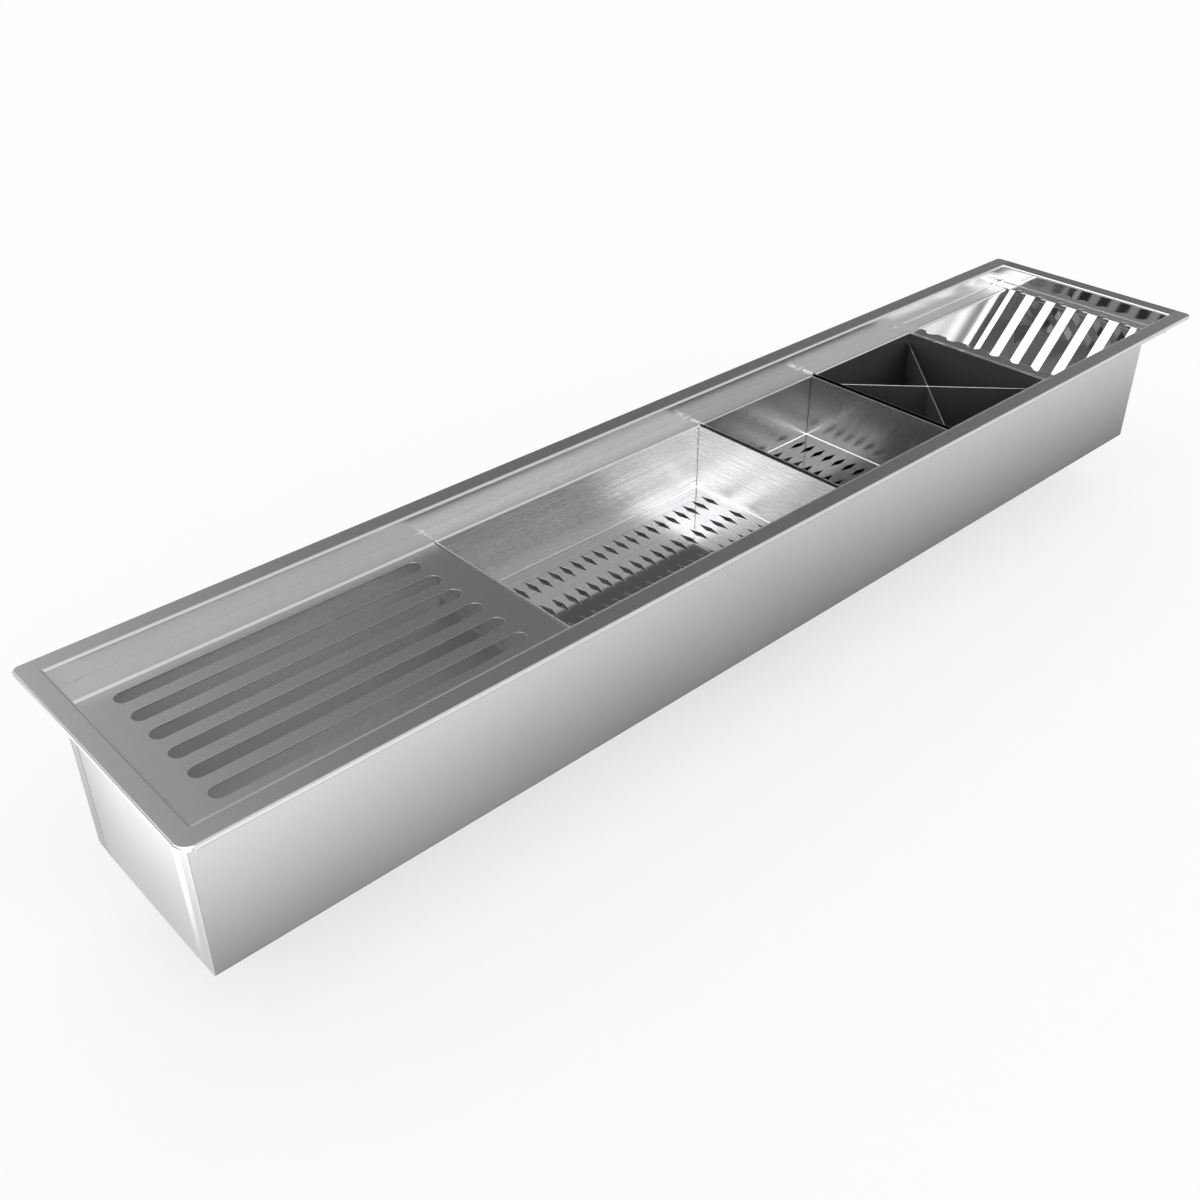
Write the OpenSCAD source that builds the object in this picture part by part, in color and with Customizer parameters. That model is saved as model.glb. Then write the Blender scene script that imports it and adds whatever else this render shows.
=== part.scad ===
// Recessed wet trough: a long stainless trough that hangs in a worktop cut-out.
// Two ledges along its sides carry a row of lift-out inserts.
// Origin: centre of the cut-out, on the worktop's top surface. +X along the trough, +Z up.

/* [Trough] */
// Width over the flange, front to back
trough_w = 203; // [195:1:240]
// Depth from the flange's top to the underside of the floor
trough_h = 125; // [118:1:160]
// Width of the front and back flanges
flange_w = 15.2; // [13:0.2:20]
// Width of the flanges at the two ends
end_flange_w = 14.4; // [13:0.2:20]
// Height of the turned-down rim that stands on the worktop
rim_h = 3; // [2.6:0.1:5]
// Depth of the side ledges below the flange's top
ledge_depth = 17; // [12:0.5:24]
// Width of each side ledge
ledge_w = 15.5; // [12:0.5:18]
// Width of the short ledge across the right end
end_ledge_w = 8.3; // [6:0.1:10]
// Thickness of the trough's sheet
sheet_t = 1.2; // [0.8:0.1:1.6]
// Inside radius of the folds in the trough's sheet
bend_r = 1; // [0.6:0.1:1.5]
// Radius of the flange's front left corner
front_left_r = 9; // [6:0.5:11]
// Radius of the flange's other corners
corner_r = 5; // [4.5:0.5:10]
// Width of the flat weld strip at each side of an end wall
weld_strip_w = 9; // [6:0.5:14]
// Width of the slope between the weld strip and the raised panel
panel_slope_w = 7; // [4:0.5:10]
// How far the raised panel of an end wall stands out
panel_rise = 1; // [0.6:0.1:1.6]

/* [Inserts] */
// Thickness of the inserts' sheet
insert_t = 1; // [0.8:0.1:1.5]
// Inside radius of the folds in the inserts' sheet
insert_bend_r = 0.6; // [0.4:0.1:1]
// Gap between an insert and the trough's end wall
end_gap = 1.1; // [0.6:0.1:2]
// Gap between inserts whose edges lie close together
near_gap = 1; // [0.6:0.1:2]
// Gap between a basket and its neighbour
basket_gap = 4; // [2:0.5:6]
// Gap between an insert's lip and the trough's upper wall
lip_gap = 0.7; // [0.5:0.1:1.5]
// Gap between a basket's wall and the trough's lower wall
side_gap = 1; // [0.6:0.1:2]
// Radius of the lips' corners
lip_corner_r = 4; // [2:0.5:6]

/* [Plate rack] */
// Length of the plate rack
rack_len = 263; // [200:1:320]
// How far the rack's middle lies below its lips
rack_joggle = 1.5; // [1:0.1:3]
// Number of slots, in the plate rack and in the saucer rack
slot_count = 6; // [4:1:6]
// Distance between slots, centre to centre
slot_pitch = 22; // [18:0.5:24]
// Width of a slot in the plate rack
rack_slot_w = 11.5; // [8:0.5:13]
// Distance from the rack's end to its slots
rack_margin = 22.75; // [15:0.25:40]

/* [Glass tray] */
// Length of the glass tray
glass_len = 260; // [200:1:320]
// Depth of the glass tray's and the basket's floor below the flange's top
tray_depth = 71; // [45:1:85]
// Long diagonal of a drain diamond
diamond_len = 20.9; // [14:0.1:22]
// Short diagonal of a drain diamond
diamond_w = 5.5; // [3:0.1:7]
// Distance between diamonds side by side
diamond_pitch = 10.9; // [9:0.1:14]
// Distance between rows of diamonds, tip to tip
diamond_row_pitch = 29.8; // [26:0.1:32]
// Width of the return under a basket's walls, on which its floor lies
return_w = 5; // [3:0.5:7]

/* [Basket] */
// Length of the small basket
basket_len = 134; // [110:1:200]

/* [Cutlery box] */
// Length of the cutlery box
box_len = 133; // [100:1:160]
// Height of the cutlery box's underside above the trough's floor
box_clearance = 6; // [4:0.5:20]
// Depth of the dividers' top edges below the box's rim
divider_drop = 9; // [4:0.5:20]
// Clearance of a divider in the other one's slit, and at its ends
divider_gap = 0.3; // [0.2:0.05:0.6]
// Diameter of the drain holes in the box's floor
box_hole_d = 6; // [3:0.5:8]
// Distance between those holes
box_hole_pitch = 18; // [12:1:24]

/* [Saucer rack] */
// Length of the V-shaped saucer rack
v_len = 169; // [150:1:180]
// Width of the flat strip at the rack's left end
v_left_strip = 13; // [10:0.5:18]
// Width of the flat strip at the rack's right end
v_right_strip = 11.5; // [10:0.5:18]
// Slope of the V's two sides, in degrees
v_angle = 44; // [30:1:46]
// Width of a slot in the saucer rack
v_slot_w = 12.6; // [8:0.2:13.4]
// Width of the outer bars
v_outer_bar = 5.6; // [4:0.2:7]
// How far the slots run into the flat strips
v_slot_over = 1; // [0.5:0.1:3]

/* [Drain] */
// Diameter of the hole in the trough's floor
waste_hole_d = 56; // [52:1:62]
// Diameter of the waste's flange
waste_flange_d = 70; // [68:1:76]
// Thickness of the waste flange's sheet
waste_t = 1; // [0.8:0.1:1.2]
// Depth of the waste flange's dish
dish_depth = 7; // [6:0.5:8]
// Thickness of the flat seal above the trough's floor
upper_seal_t = 1.2; // [1:0.1:2]
// Thickness of the seal below the trough's floor
lower_seal_t = 2; // [1.5:0.1:3]
// Outside diameter of the outlet's thread
outlet_d = 47.8; // [44:0.1:50]
// Bore of the outlet
outlet_bore_d = 40; // [36:0.5:41]
// Length of the outlet
outlet_len = 22; // [16:1:24]
// Diameter of the waste screw
screw_d = 6; // [5:0.5:6]

/* [Worktop seal] */
// Width of the foam strip under the flange
seal_w = 9; // [5:0.5:9]

/* [Hidden] */
$fn = 64;

// One overrun for every cut
cut = 1;
// Straight pieces in each fold of the sheet
fold_steps = 8;
// Play of an insert above the ledge it rests on
seat_gap = 0.1;
// Clearance between a loose piece of the drain and its seat
fit_gap = 0.2;
// Gap between a foam strip and the folds beside it, and between two strips
seal_inset = 0.3;
// Share of a fold's radius that a flat edge lying on the sheet keeps off the wall
fold_share = 0.7;

// Lengths that follow from the inserts in their row
row_len = rack_len + near_gap + glass_len + basket_gap + basket_len + basket_gap
        + box_len + near_gap + v_len;
open_x = row_len / 2 + end_gap;
trough_len = 2 * (open_x + end_flange_w);
half_l = trough_len / 2;
rack_x = -row_len / 2;
glass_x = rack_x + rack_len + near_gap;
basket_x = glass_x + glass_len + basket_gap;
box_x = basket_x + basket_len + basket_gap;
v_x = box_x + box_len + near_gap;

// Half widths, measured from the trough's centre line
half_w = trough_w / 2;
open_y = half_w - flange_w;
chan_y = open_y - ledge_w;
lip_y = open_y - max(lip_gap, fold_share * bend_r);
wall_y = chan_y - side_gap - insert_t;

// Heights
top_z = rim_h;
ledge_z = top_z - ledge_depth;
floor_z = top_z - trough_h;
floor_top = floor_z + sheet_t;
lip_z = ledge_z + seat_gap;
lip_top = lip_z + insert_t;
tray_z = top_z - tray_depth - 2 * insert_t;
box_z = floor_top + box_clearance;

mid = sheet_t / 2;
insert_mid = insert_t / 2;

// Sheet folded along a path: the path is the middle of the sheet, and each of its corners
// becomes a fold of inside radius r. The outline runs up one face and back down the other.
function unit(v) = v / norm(v);
function left_of(v) = [-v.y, v.x];
function cross_z(a, b) = a.x * b.y - a.y * b.x;
function turned(v, a) = [v.x * cos(a) - v.y * sin(a), v.x * sin(a) + v.y * cos(a)];
function path_dir(p, i) = unit(p[i + 1] - p[i]);
function fold_angle(p, i) =
    let (a = path_dir(p, i - 1), b = path_dir(p, i)) atan2(cross_z(a, b), a * b);
function fold_arc(p, i, r, t, side) =
    let (angle = fold_angle(p, i),
         way = sign(angle),
         mid_r = r + t / 2,
         before = path_dir(p, i - 1),
         start = p[i] - before * mid_r * tan(abs(angle) / 2),
         centre = start + left_of(before) * way * mid_r)
    [for (k = [0 : fold_steps])
        let (n = turned(left_of(before), angle * k / fold_steps))
        centre - n * way * mid_r + n * side * t / 2];
function face_points(p, r, t, side) =
    let (last = len(p) - 1)
    concat([p[0] + left_of(path_dir(p, 0)) * side * t / 2],
           [for (i = [1 : last - 1]) each fold_arc(p, i, r, t, side)],
           [p[last] + left_of(path_dir(p, last - 1)) * side * t / 2]);
function reversed(list) = [for (i = [len(list) - 1 : -1 : 0]) list[i]];
function folded(p, r, t) = concat(face_points(p, r, t, 1), reversed(face_points(p, r, t, -1)));

// The right half of a symmetric path, followed by its mirror image
function both_sides(p) = concat(p, reversed([for (q = p) [-q.x, q.y]]));

// A profile drawn in Y and Z, carried along X from x0
module along_x(x0, length) {
    translate([x0, 0, 0])
        rotate([90, 0, 90])
            linear_extrude(height = length) children();
}

// A profile drawn in X and Z, carried along Y, centred
module along_y(length) {
    translate([0, length / 2, 0])
        rotate([90, 0, 0])
            linear_extrude(height = length) children();
}

// A box given by its lowest and highest corners
module block(low, high) {
    translate(low) cube(high - low);
}

// What a rounded corner of radius r takes away at the origin, where the sheet lies
// in the quarter of the plane towards +X and +Y
module corner_bite(r) {
    difference() {
        translate([-cut, -cut]) square(r + cut);
        translate([r, r]) circle(r);
    }
}

// An obround slot along X, between its two tips
module slot_outline(x0, x1, y, w) {
    translate([x0 + w / 2, y - w / 2]) square([x1 - x0 - w, w]);
    for (x = [x0 + w / 2, x1 - w / 2]) translate([x, y]) circle(d = w);
}

// The row of slots that both racks have
module slots(x0, x1, w) {
    for (i = [0 : slot_count - 1])
        slot_outline(x0, x1, (i - (slot_count - 1) / 2) * slot_pitch, w);
}

// Flange with its turned-down rim

// Path of a flange of width w that ends in the rim, drawn from the inside out
function rim_path(w) = [[0, top_z - mid], [w - mid, top_z - mid], [w - mid, 0]];

// Straight flange along Y at the end of the trough, its inner edge at X = 0
module end_flange(w, length) {
    along_y(length) polygon(folded(rim_path(w), bend_r, sheet_t));
}

// Round corner of the flange, its centre on the origin, towards +X and +Y
module corner_flange(r) {
    rotate_extrude(angle = 90) polygon(folded(rim_path(r), bend_r, sheet_t));
}

// The long flange's end beyond the opening, for the corner towards +X and +Y
module long_flange_end(r) {
    along_x(open_x, end_flange_w - r)
        translate([open_y, 0]) polygon(folded(rim_path(flange_w), bend_r, sheet_t));
    translate([half_l - r, open_y + (flange_w - r) / 2, 0]) end_flange(r, flange_w - r);
    translate([half_l - r, half_w - r, 0]) corner_flange(r);
}

// Trough

// Middle of the channel's sheet, from the rim to the centre of the floor
channel_path = [[half_w - mid, 0],
                [half_w - mid, top_z - mid],
                [open_y + mid, top_z - mid],
                [open_y + mid, ledge_z - mid],
                [chan_y + mid, ledge_z - mid],
                [chan_y + mid, floor_z + mid]];

module trough_channel() {
    color("silver") {
        difference() {
            along_x(-open_x, 2 * open_x)
                polygon(folded(both_sides(channel_path), bend_r, sheet_t));
            translate([0, 0, floor_z - cut]) cylinder(d = waste_hole_d, h = sheet_t + 2 * cut);
            block([open_x - end_ledge_w, -half_w, floor_z - cut],
                  [open_x + cut, half_w, ledge_z - sheet_t]);
        }
        long_flange_end(corner_r);
        mirror([1, 0, 0]) long_flange_end(corner_r);
        mirror([0, 1, 0]) long_flange_end(corner_r);
        mirror([0, 1, 0]) mirror([1, 0, 0]) long_flange_end(front_left_r);
    }
}

// Half widths of the raised panel in an end wall
panel_foot_y = chan_y + sheet_t - weld_strip_w;
panel_y = panel_foot_y - panel_slope_w;
// Straight length that a fold takes at the end of a path
fold_room = bend_r + 2 * sheet_t;
panel_top = ledge_z - fold_room;

// Outline of the lower end wall in Y and Z, up to top: the channel's outside, with round corners
module lower_wall_outline(top) {
    r = bend_r + sheet_t;
    y = chan_y + sheet_t;
    translate([-y, floor_z + r]) square([2 * y, top - floor_z - r]);
    translate([r - y, floor_z]) square([2 * (y - r), r]);
    for (side = [-1, 1]) translate([side * (y - r), floor_z + r]) circle(r);
}

// Lower end wall towards +X: flat weld strips at its sides and a raised panel between them
module lower_end_wall(x, top) {
    out = x + panel_rise;
    difference() {
        along_x(x, sheet_t) lower_wall_outline(top);
        block([x - cut, -panel_foot_y, floor_z - cut], [x + sheet_t + cut, panel_foot_y, panel_top]);
    }
    // the panel with its two slopes
    translate([0, 0, floor_z])
        linear_extrude(height = panel_top - floor_z)
            polygon([[x, panel_foot_y], [out, panel_y], [out, -panel_y], [x, -panel_foot_y],
                     [x + sheet_t, -panel_foot_y], [out + sheet_t, -panel_y],
                     [out + sheet_t, panel_y], [x + sheet_t, panel_foot_y]]);
    // the returns that close the panel against the channel's floor and the wall above
    for (z = [floor_z, panel_top - sheet_t])
        translate([0, 0, z])
            linear_extrude(height = sheet_t)
                polygon([[x, panel_foot_y], [out + mid, panel_y],
                         [out + mid, -panel_y], [x, -panel_foot_y]]);
}

// An end cap towards +X. step is the width of the ledge across the end, or 0.
module end_cap(step) {
    low_x = open_x - step;
    top_path = [[half_l - mid, 0], [half_l - mid, top_z - mid], [open_x + mid, top_z - mid]];
    fold_end = ledge_z - (step > 0 ? fold_room : sheet_t);
    wall_path = step > 0
        ? [[open_x + mid, ledge_z - mid], [low_x + mid, ledge_z - mid], [low_x + mid, fold_end]]
        : [[open_x + mid, fold_end]];
    // the flange, the fold and the inside of the upper wall
    difference() {
        along_y(2 * open_y) polygon(folded(concat(top_path, wall_path), bend_r, sheet_t));
        for (side = [0, 1])
            mirror([0, side, 0])
                block([low_x - cut, chan_y, fold_end - cut], [open_x, open_y + cut, ledge_z + mid]);
    }
    // the upper wall's edges, which cover the channel's end below the long flange
    for (side = [0, 1])
        mirror([0, side, 0])
            block([open_x, chan_y, ledge_z - sheet_t],
                  [open_x + sheet_t, open_y + sheet_t, top_z - sheet_t]);
    lower_end_wall(low_x, fold_end);
}

module left_end_cap() {
    color("gainsboro") mirror([1, 0, 0]) end_cap(0);
}

module right_end_cap() {
    color("gainsboro") end_cap(end_ledge_w);
}

// Four foam strips under the flange, inside its rim, cut square at the corners
module worktop_seal() {
    fold = sheet_t + bend_r;
    width = min(seal_w, min(flange_w, end_flange_w) - 2 * fold - seal_inset);
    seal_x = half_l - fold - seal_inset;
    seal_y = half_w - fold - seal_inset;
    seal_h = top_z - sheet_t;
    end_x = seal_x - width - seal_inset;
    color("dimgray")
        for (side = [0, 1]) {
            mirror([0, side, 0])
                block([-end_x, seal_y - width, 0], [end_x, seal_y, seal_h]);
            mirror([side, 0, 0])
                block([seal_x - width, width - seal_y, 0], [seal_x, seal_y - width, seal_h]);
        }
}

// Drain

rim_r = waste_flange_d / 2;
hole_r = waste_hole_d / 2;
// Inside of the dish at its mouth and at its floor
throat_r = hole_r - 1.5 * waste_t;
dish_r = throat_r - dish_depth / 2;
waste_mid = waste_t / 2;
waste_z = floor_top + upper_seal_t;
dish_z = waste_z - dish_depth;
// Drain holes in the dish: their ring and size
dish_hole_r = 4.2;
dish_hole_count = 8;
dish_ring_r = dish_r - 1.6 * dish_hole_r;

module drain_flange() {
    color("lightgray")
        difference() {
            rotate_extrude()
                polygon(folded([[rim_r, waste_z + waste_mid], [throat_r, waste_z + waste_mid],
                                [dish_r, dish_z + waste_mid], [0, dish_z + waste_mid]],
                               waste_t, waste_t));
            for (i = [0 : dish_hole_count - 1])
                rotate([0, 0, 360 * i / dish_hole_count])
                    translate([dish_ring_r, 0, dish_z - cut])
                        cylinder(r = dish_hole_r, h = waste_t + 2 * cut);
            translate([0, 0, dish_z - cut])
                cylinder(d = screw_d + 2 * fit_gap, h = waste_t + 2 * cut);
        }
}

// A flat ring between two radii, standing on z
module ring(outer_r, inner_r, z, h) {
    translate([0, 0, z])
        difference() {
            cylinder(r = outer_r, h = h);
            translate([0, 0, -cut]) cylinder(r = inner_r, h = h + 2 * cut);
        }
}

module drain_upper_seal() {
    color("dimgray") ring(rim_r - fit_gap, hole_r + fit_gap, floor_top, upper_seal_t);
}

module drain_lower_seal() {
    color("dimgray") ring(rim_r, hole_r + fit_gap, floor_z - lower_seal_t, lower_seal_t);
}

collar_z = floor_z - lower_seal_t;
collar_h = 4;
bowl_wall = 3;
bowl_r = hole_r - 2 * waste_t;
bowl_h = 14;
taper_h = 5;
outlet_z = collar_z - bowl_h - taper_h;
outlet_end = outlet_z - outlet_len;
boss_r = 8;
boss_h = 11;
boss_top = dish_z - fit_gap;
boss_end = boss_top - boss_h;
rib_w = 2.5;
rib_h = 8;
rib_count = 3;
// Hexagonal insert that the screw pulls up inside the boss, across flats and length
insert_flats = 10;
insert_len = 5;
insert_top = boss_end + insert_len;

module hex_prism(flats, z, h) {
    translate([0, 0, z]) cylinder(d = flats / cos(30), h = h, $fn = 6);
}

module drain_body() {
    bowl_out = bowl_r + bowl_wall;
    color("slategray") {
        rotate_extrude()
            polygon([[bowl_r, collar_z], [rim_r, collar_z], [rim_r, collar_z - collar_h],
                     [bowl_out, collar_z - collar_h], [bowl_out, collar_z - bowl_h],
                     [outlet_d / 2, outlet_z], [outlet_d / 2, outlet_end],
                     [outlet_bore_d / 2, outlet_end], [outlet_bore_d / 2, outlet_z],
                     [bowl_r, collar_z - bowl_h]]);
        difference() {
            union() {
                translate([0, 0, boss_end]) cylinder(r = boss_r, h = boss_h);
                for (i = [0 : rib_count - 1])
                    rotate([0, 0, 360 * i / rib_count + 90])
                        block([0, -rib_w / 2, boss_end], [bowl_r + bowl_wall / 2, rib_w / 2, boss_end + rib_h]);
            }
            translate([0, 0, boss_end - cut]) cylinder(d = screw_d + 2 * fit_gap, h = boss_h + 2 * cut);
            hex_prism(insert_flats + 2 * fit_gap, boss_end - cut, insert_len + cut);
        }
    }
}

module drain_insert() {
    color("goldenrod")
        difference() {
            hex_prism(insert_flats, boss_end, insert_len);
            translate([0, 0, boss_end - cut]) cylinder(d = screw_d, h = insert_len + 2 * cut);
        }
}

// Clearance of the screw's plain shank in the insert's bore
thread_gap = 0.05;
screw_head_r = 5.5;
screw_head_h = 2.2;
screw_slit_w = 1.4;
screw_slit_h = 1.2;

module drain_screw() {
    head_z = dish_z + waste_t;
    color("silver")
        difference() {
            union() {
                translate([0, 0, head_z]) cylinder(r = screw_head_r, h = screw_head_h);
                translate([0, 0, boss_end])
                    cylinder(d = screw_d - 2 * thread_gap, h = head_z - boss_end + waste_mid);
            }
            block([-screw_head_r - cut, -screw_slit_w / 2, head_z + screw_head_h - screw_slit_h],
                  [screw_head_r + cut, screw_slit_w / 2, head_z + screw_head_h + cut]);
        }
}

// Strainer that nests in the waste's dish: its thickness, depth, holes and knob
strainer_t = 0.8;
strainer_drop = 2.4;
strainer_rim_r = rim_r - 2;
strainer_hole_r = 1.5;
strainer_rings = 2;
strainer_ring_pitch = 5.2;
strainer_ring_holes = 10;
knob_r = 4.5;
knob_h = 7;
neck_r = 2.6;

module drain_strainer() {
    z = waste_z + waste_t + seat_gap;
    s = strainer_t / 2;
    plate_r = dish_r - strainer_t;
    color("lightgray") {
        difference() {
            rotate_extrude()
                polygon(folded([[strainer_rim_r, z + s], [throat_r - waste_t - fit_gap, z + s],
                                [plate_r, z + s - strainer_drop], [0, z + s - strainer_drop]],
                               strainer_t, strainer_t));
            for (ring = [1 : strainer_rings], i = [0 : strainer_ring_holes * ring - 1])
                rotate([0, 0, 360 * i / (strainer_ring_holes * ring)])
                    translate([knob_r + ring * strainer_ring_pitch, 0, z - strainer_drop - cut])
                        cylinder(r = strainer_hole_r, h = strainer_t + 2 * cut, $fn = 24);
        }
        translate([0, 0, z - strainer_drop]) {
            cylinder(r = neck_r, h = knob_h);
            translate([0, 0, knob_h - neck_r / 2]) cylinder(r = knob_r, h = neck_r);
        }
    }
}

// Inserts

// Takes the lips' four corners off an insert that runs from x0 to x0 + length
module round_lips(x0, length) {
    difference() {
        children();
        for (mx = [0, 1], my = [0, 1])
            translate([x0 + length / 2, 0, lip_z - cut])
                mirror([mx, 0, 0]) mirror([0, my, 0])
                    translate([-length / 2, -lip_y, 0])
                        linear_extrude(height = insert_t + 2 * cut) corner_bite(lip_corner_r);
    }
}

// Plate rack: a flat sheet with a shallow joggle that keeps it between the lower walls
module plate_rack() {
    joggle_y = wall_y + insert_t - rack_joggle;
    color("darkgray")
        difference() {
            round_lips(rack_x, rack_len)
                along_x(rack_x, rack_len)
                    polygon(folded(both_sides([[lip_y, lip_z + insert_mid],
                                               [joggle_y + rack_joggle, lip_z + insert_mid],
                                               [joggle_y, lip_z + insert_mid - rack_joggle]]),
                                   insert_bend_r, insert_t));
            translate([0, 0, lip_z - rack_joggle - cut])
                linear_extrude(height = rack_joggle + insert_t + 2 * cut)
                    slots(rack_x + rack_margin, rack_x + rack_len - rack_margin, rack_slot_w);
        }
}

// Four walls of a hanging basket, with lips on the ledges and a return under its floor
module basket_shell(x0, length, z) {
    round_lips(x0, length)
        along_x(x0, length)
            for (side = [0, 1])
                mirror([side, 0])
                    polygon(folded([[lip_y, lip_z + insert_mid],
                                    [wall_y + insert_mid, lip_z + insert_mid],
                                    [wall_y + insert_mid, z + insert_mid],
                                    [wall_y - return_w, z + insert_mid]],
                                   insert_bend_r, insert_t));
    for (side = [0, 1])
        translate([x0 + length / 2, 0, 0])
            mirror([side, 0, 0])
                along_y(2 * wall_y)
                    polygon(folded([[insert_mid - length / 2, lip_top - insert_mid],
                                    [insert_mid - length / 2, z + insert_mid],
                                    [return_w - length / 2, z + insert_mid]],
                                   insert_bend_r, insert_t));
}

// A basket's floor plate, which lies on the return, inside its folds. Its children are the holes.
module basket_plate(x0, length, z) {
    gap = insert_bend_r + seat_gap;
    inset = insert_t + gap;
    translate([0, 0, z + insert_t])
        linear_extrude(height = insert_t)
            difference() {
                translate([x0 + inset, -(wall_y - gap)])
                    square([length - 2 * inset, 2 * (wall_y - gap)]);
                children();
            }
}

// Rows of diamonds centred on x, along X and Y
module diamonds(x, size, columns, rows, pitch) {
    for (i = [0 : columns - 1], j = [0 : rows - 1])
        translate([x + (i - (columns - 1) / 2) * pitch.x, (j - (rows - 1) / 2) * pitch.y])
            polygon([[size.x / 2, 0], [0, size.y / 2], [-size.x / 2, 0], [0, -size.y / 2]]);
}

// How many copies at a pitch fit between two margins
function fitting(length, size, pitch) = 1 + floor((length - size) / pitch);

// Clear floor inside the return, where the holes lie
glass_clear_x = glass_len - 2 * (return_w + insert_t);
basket_clear_x = basket_len - 2 * (return_w + insert_t);
clear_y = 2 * (wall_y - return_w);

module glass_tray_walls() {
    color("silver") basket_shell(glass_x, glass_len, tray_z);
}

module glass_tray_floor() {
    color("gainsboro")
        basket_plate(glass_x, glass_len, tray_z)
            diamonds(glass_x + glass_len / 2, [diamond_w, diamond_len],
                     fitting(glass_clear_x, diamond_w, diamond_pitch),
                     fitting(clear_y, diamond_len, diamond_row_pitch),
                     [diamond_pitch, diamond_row_pitch]);
}

module basket_walls() {
    color("silver") basket_shell(basket_x, basket_len, tray_z);
}

module basket_floor() {
    color("gainsboro")
        basket_plate(basket_x, basket_len, tray_z)
            diamonds(basket_x + basket_len / 2, [diamond_len, diamond_w],
                     fitting(basket_clear_x, diamond_len, diamond_row_pitch),
                     fitting(clear_y, diamond_w, diamond_pitch),
                     [diamond_row_pitch, diamond_pitch]);
}

module cutlery_box() {
    color("dimgray") basket_shell(box_x, box_len, box_z);
}

module cutlery_floor() {
    columns = fitting(box_len - 2 * (return_w + insert_t), box_hole_d, box_hole_pitch);
    rows = fitting(clear_y, box_hole_d, box_hole_pitch);
    color("gray")
        basket_plate(box_x, box_len, box_z)
            for (i = [0 : columns - 1], j = [0 : rows - 1])
                translate([box_x + box_len / 2 + (i - (columns - 1) / 2) * box_hole_pitch,
                           (j - (rows - 1) / 2) * box_hole_pitch])
                    circle(d = box_hole_d);
}

// Two dividers cross corner to corner, each slit to half its height where they meet
divider_z = box_z + 2 * insert_t + seat_gap;
divider_h = lip_top - divider_drop - divider_z;
box_inner_x = box_len / 2 - insert_t;
divider_angle = atan2(wall_y, box_inner_x);
// A plate of thickness t fits a square corner if its end stays t/2 / tan or t/2 * tan away,
// whichever is more
divider_half = norm([box_inner_x, wall_y]) - divider_gap
             - insert_mid * max(tan(divider_angle), 1 / tan(divider_angle));

// slit_z is where the slit starts, in the plate's own height
module divider(angle, slit_z) {
    slit = insert_t + 2 * divider_gap;
    translate([box_x + box_len / 2, 0, divider_z])
        rotate([0, 0, angle])
            difference() {
                block([-divider_half, -insert_mid, 0], [divider_half, insert_mid, divider_h]);
                block([-slit / 2, -insert_t, slit_z], [slit / 2, insert_t, slit_z + divider_h / 2 + cut]);
            }
}

module divider_a() {
    color("darkslategray") divider(divider_angle, divider_h / 2);
}

module divider_b() {
    color("slategray") divider(-divider_angle, -cut);
}

// V-shaped saucer rack. Its flat strips reach over the ledges, and its slots run
// from strip to strip through the fold at the bottom.
v_end = v_x + v_len;
v_half_y = (slot_count - 1) / 2 * slot_pitch + v_slot_w / 2 + v_outer_bar;
v_slope_run = (v_len - v_left_strip - v_right_strip) / 2;
v_drop = v_slope_run * tan(v_angle);

module v_profile() {
    z = lip_z + insert_mid;
    polygon(folded([[v_x, z], [v_x + v_left_strip, z],
                    [v_x + v_left_strip + v_slope_run, z - v_drop],
                    [v_end - v_right_strip, z], [v_end, z]],
                   insert_bend_r, insert_t));
}

module v_rack() {
    strip_end = v_x + v_left_strip - insert_t;
    color("silver")
        difference() {
            union() {
                along_y(2 * v_half_y) v_profile();
                round_strip(v_x, strip_end);
                round_strip(v_end - v_right_strip + insert_t, v_end);
            }
            translate([0, 0, lip_z - v_drop - 2 * cut])
                linear_extrude(height = v_drop + insert_t + 4 * cut)
                    slots(v_x + v_left_strip - v_slot_over,
                          v_end - v_right_strip + v_slot_over, v_slot_w);
        }
}

// A flat strip across the trough from ledge to ledge, with round corners
module round_strip(x0, x1) {
    translate([0, 0, lip_z])
        linear_extrude(height = insert_t)
            difference() {
                translate([x0, -lip_y]) square([x1 - x0, 2 * lip_y]);
                for (mx = [0, 1], my = [0, 1])
                    translate([(x0 + x1) / 2, 0])
                        mirror([mx, 0]) mirror([0, my])
                            translate([(x0 - x1) / 2, -lip_y]) corner_bite(lip_corner_r);
            }
}

trough_channel();
left_end_cap();
right_end_cap();
worktop_seal();
drain_flange();
drain_upper_seal();
drain_lower_seal();
drain_body();
drain_insert();
drain_screw();
drain_strainer();
plate_rack();
glass_tray_walls();
glass_tray_floor();
basket_walls();
basket_floor();
cutlery_box();
cutlery_floor();
divider_a();
divider_b();
v_rack();
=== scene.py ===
"""Recessed wet trough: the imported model's finishes, its fine pieces and the studio round it.

Everything is in metres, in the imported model's own frame: the origin is the centre of the
worktop's cut-out, on the worktop's top surface, with +X along the trough and +Z up.
"""

import logging
import math
from dataclasses import dataclass, field
from enum import Enum
from typing import Optional, Sequence

import bpy
import numpy as np
from bpy.types import Camera, Material, Mesh, Node, NodeSocket, NodeTree, Object, World
from mathutils import Matrix, Vector
from mathutils.geometry import delaunay_2d_cdt


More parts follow.
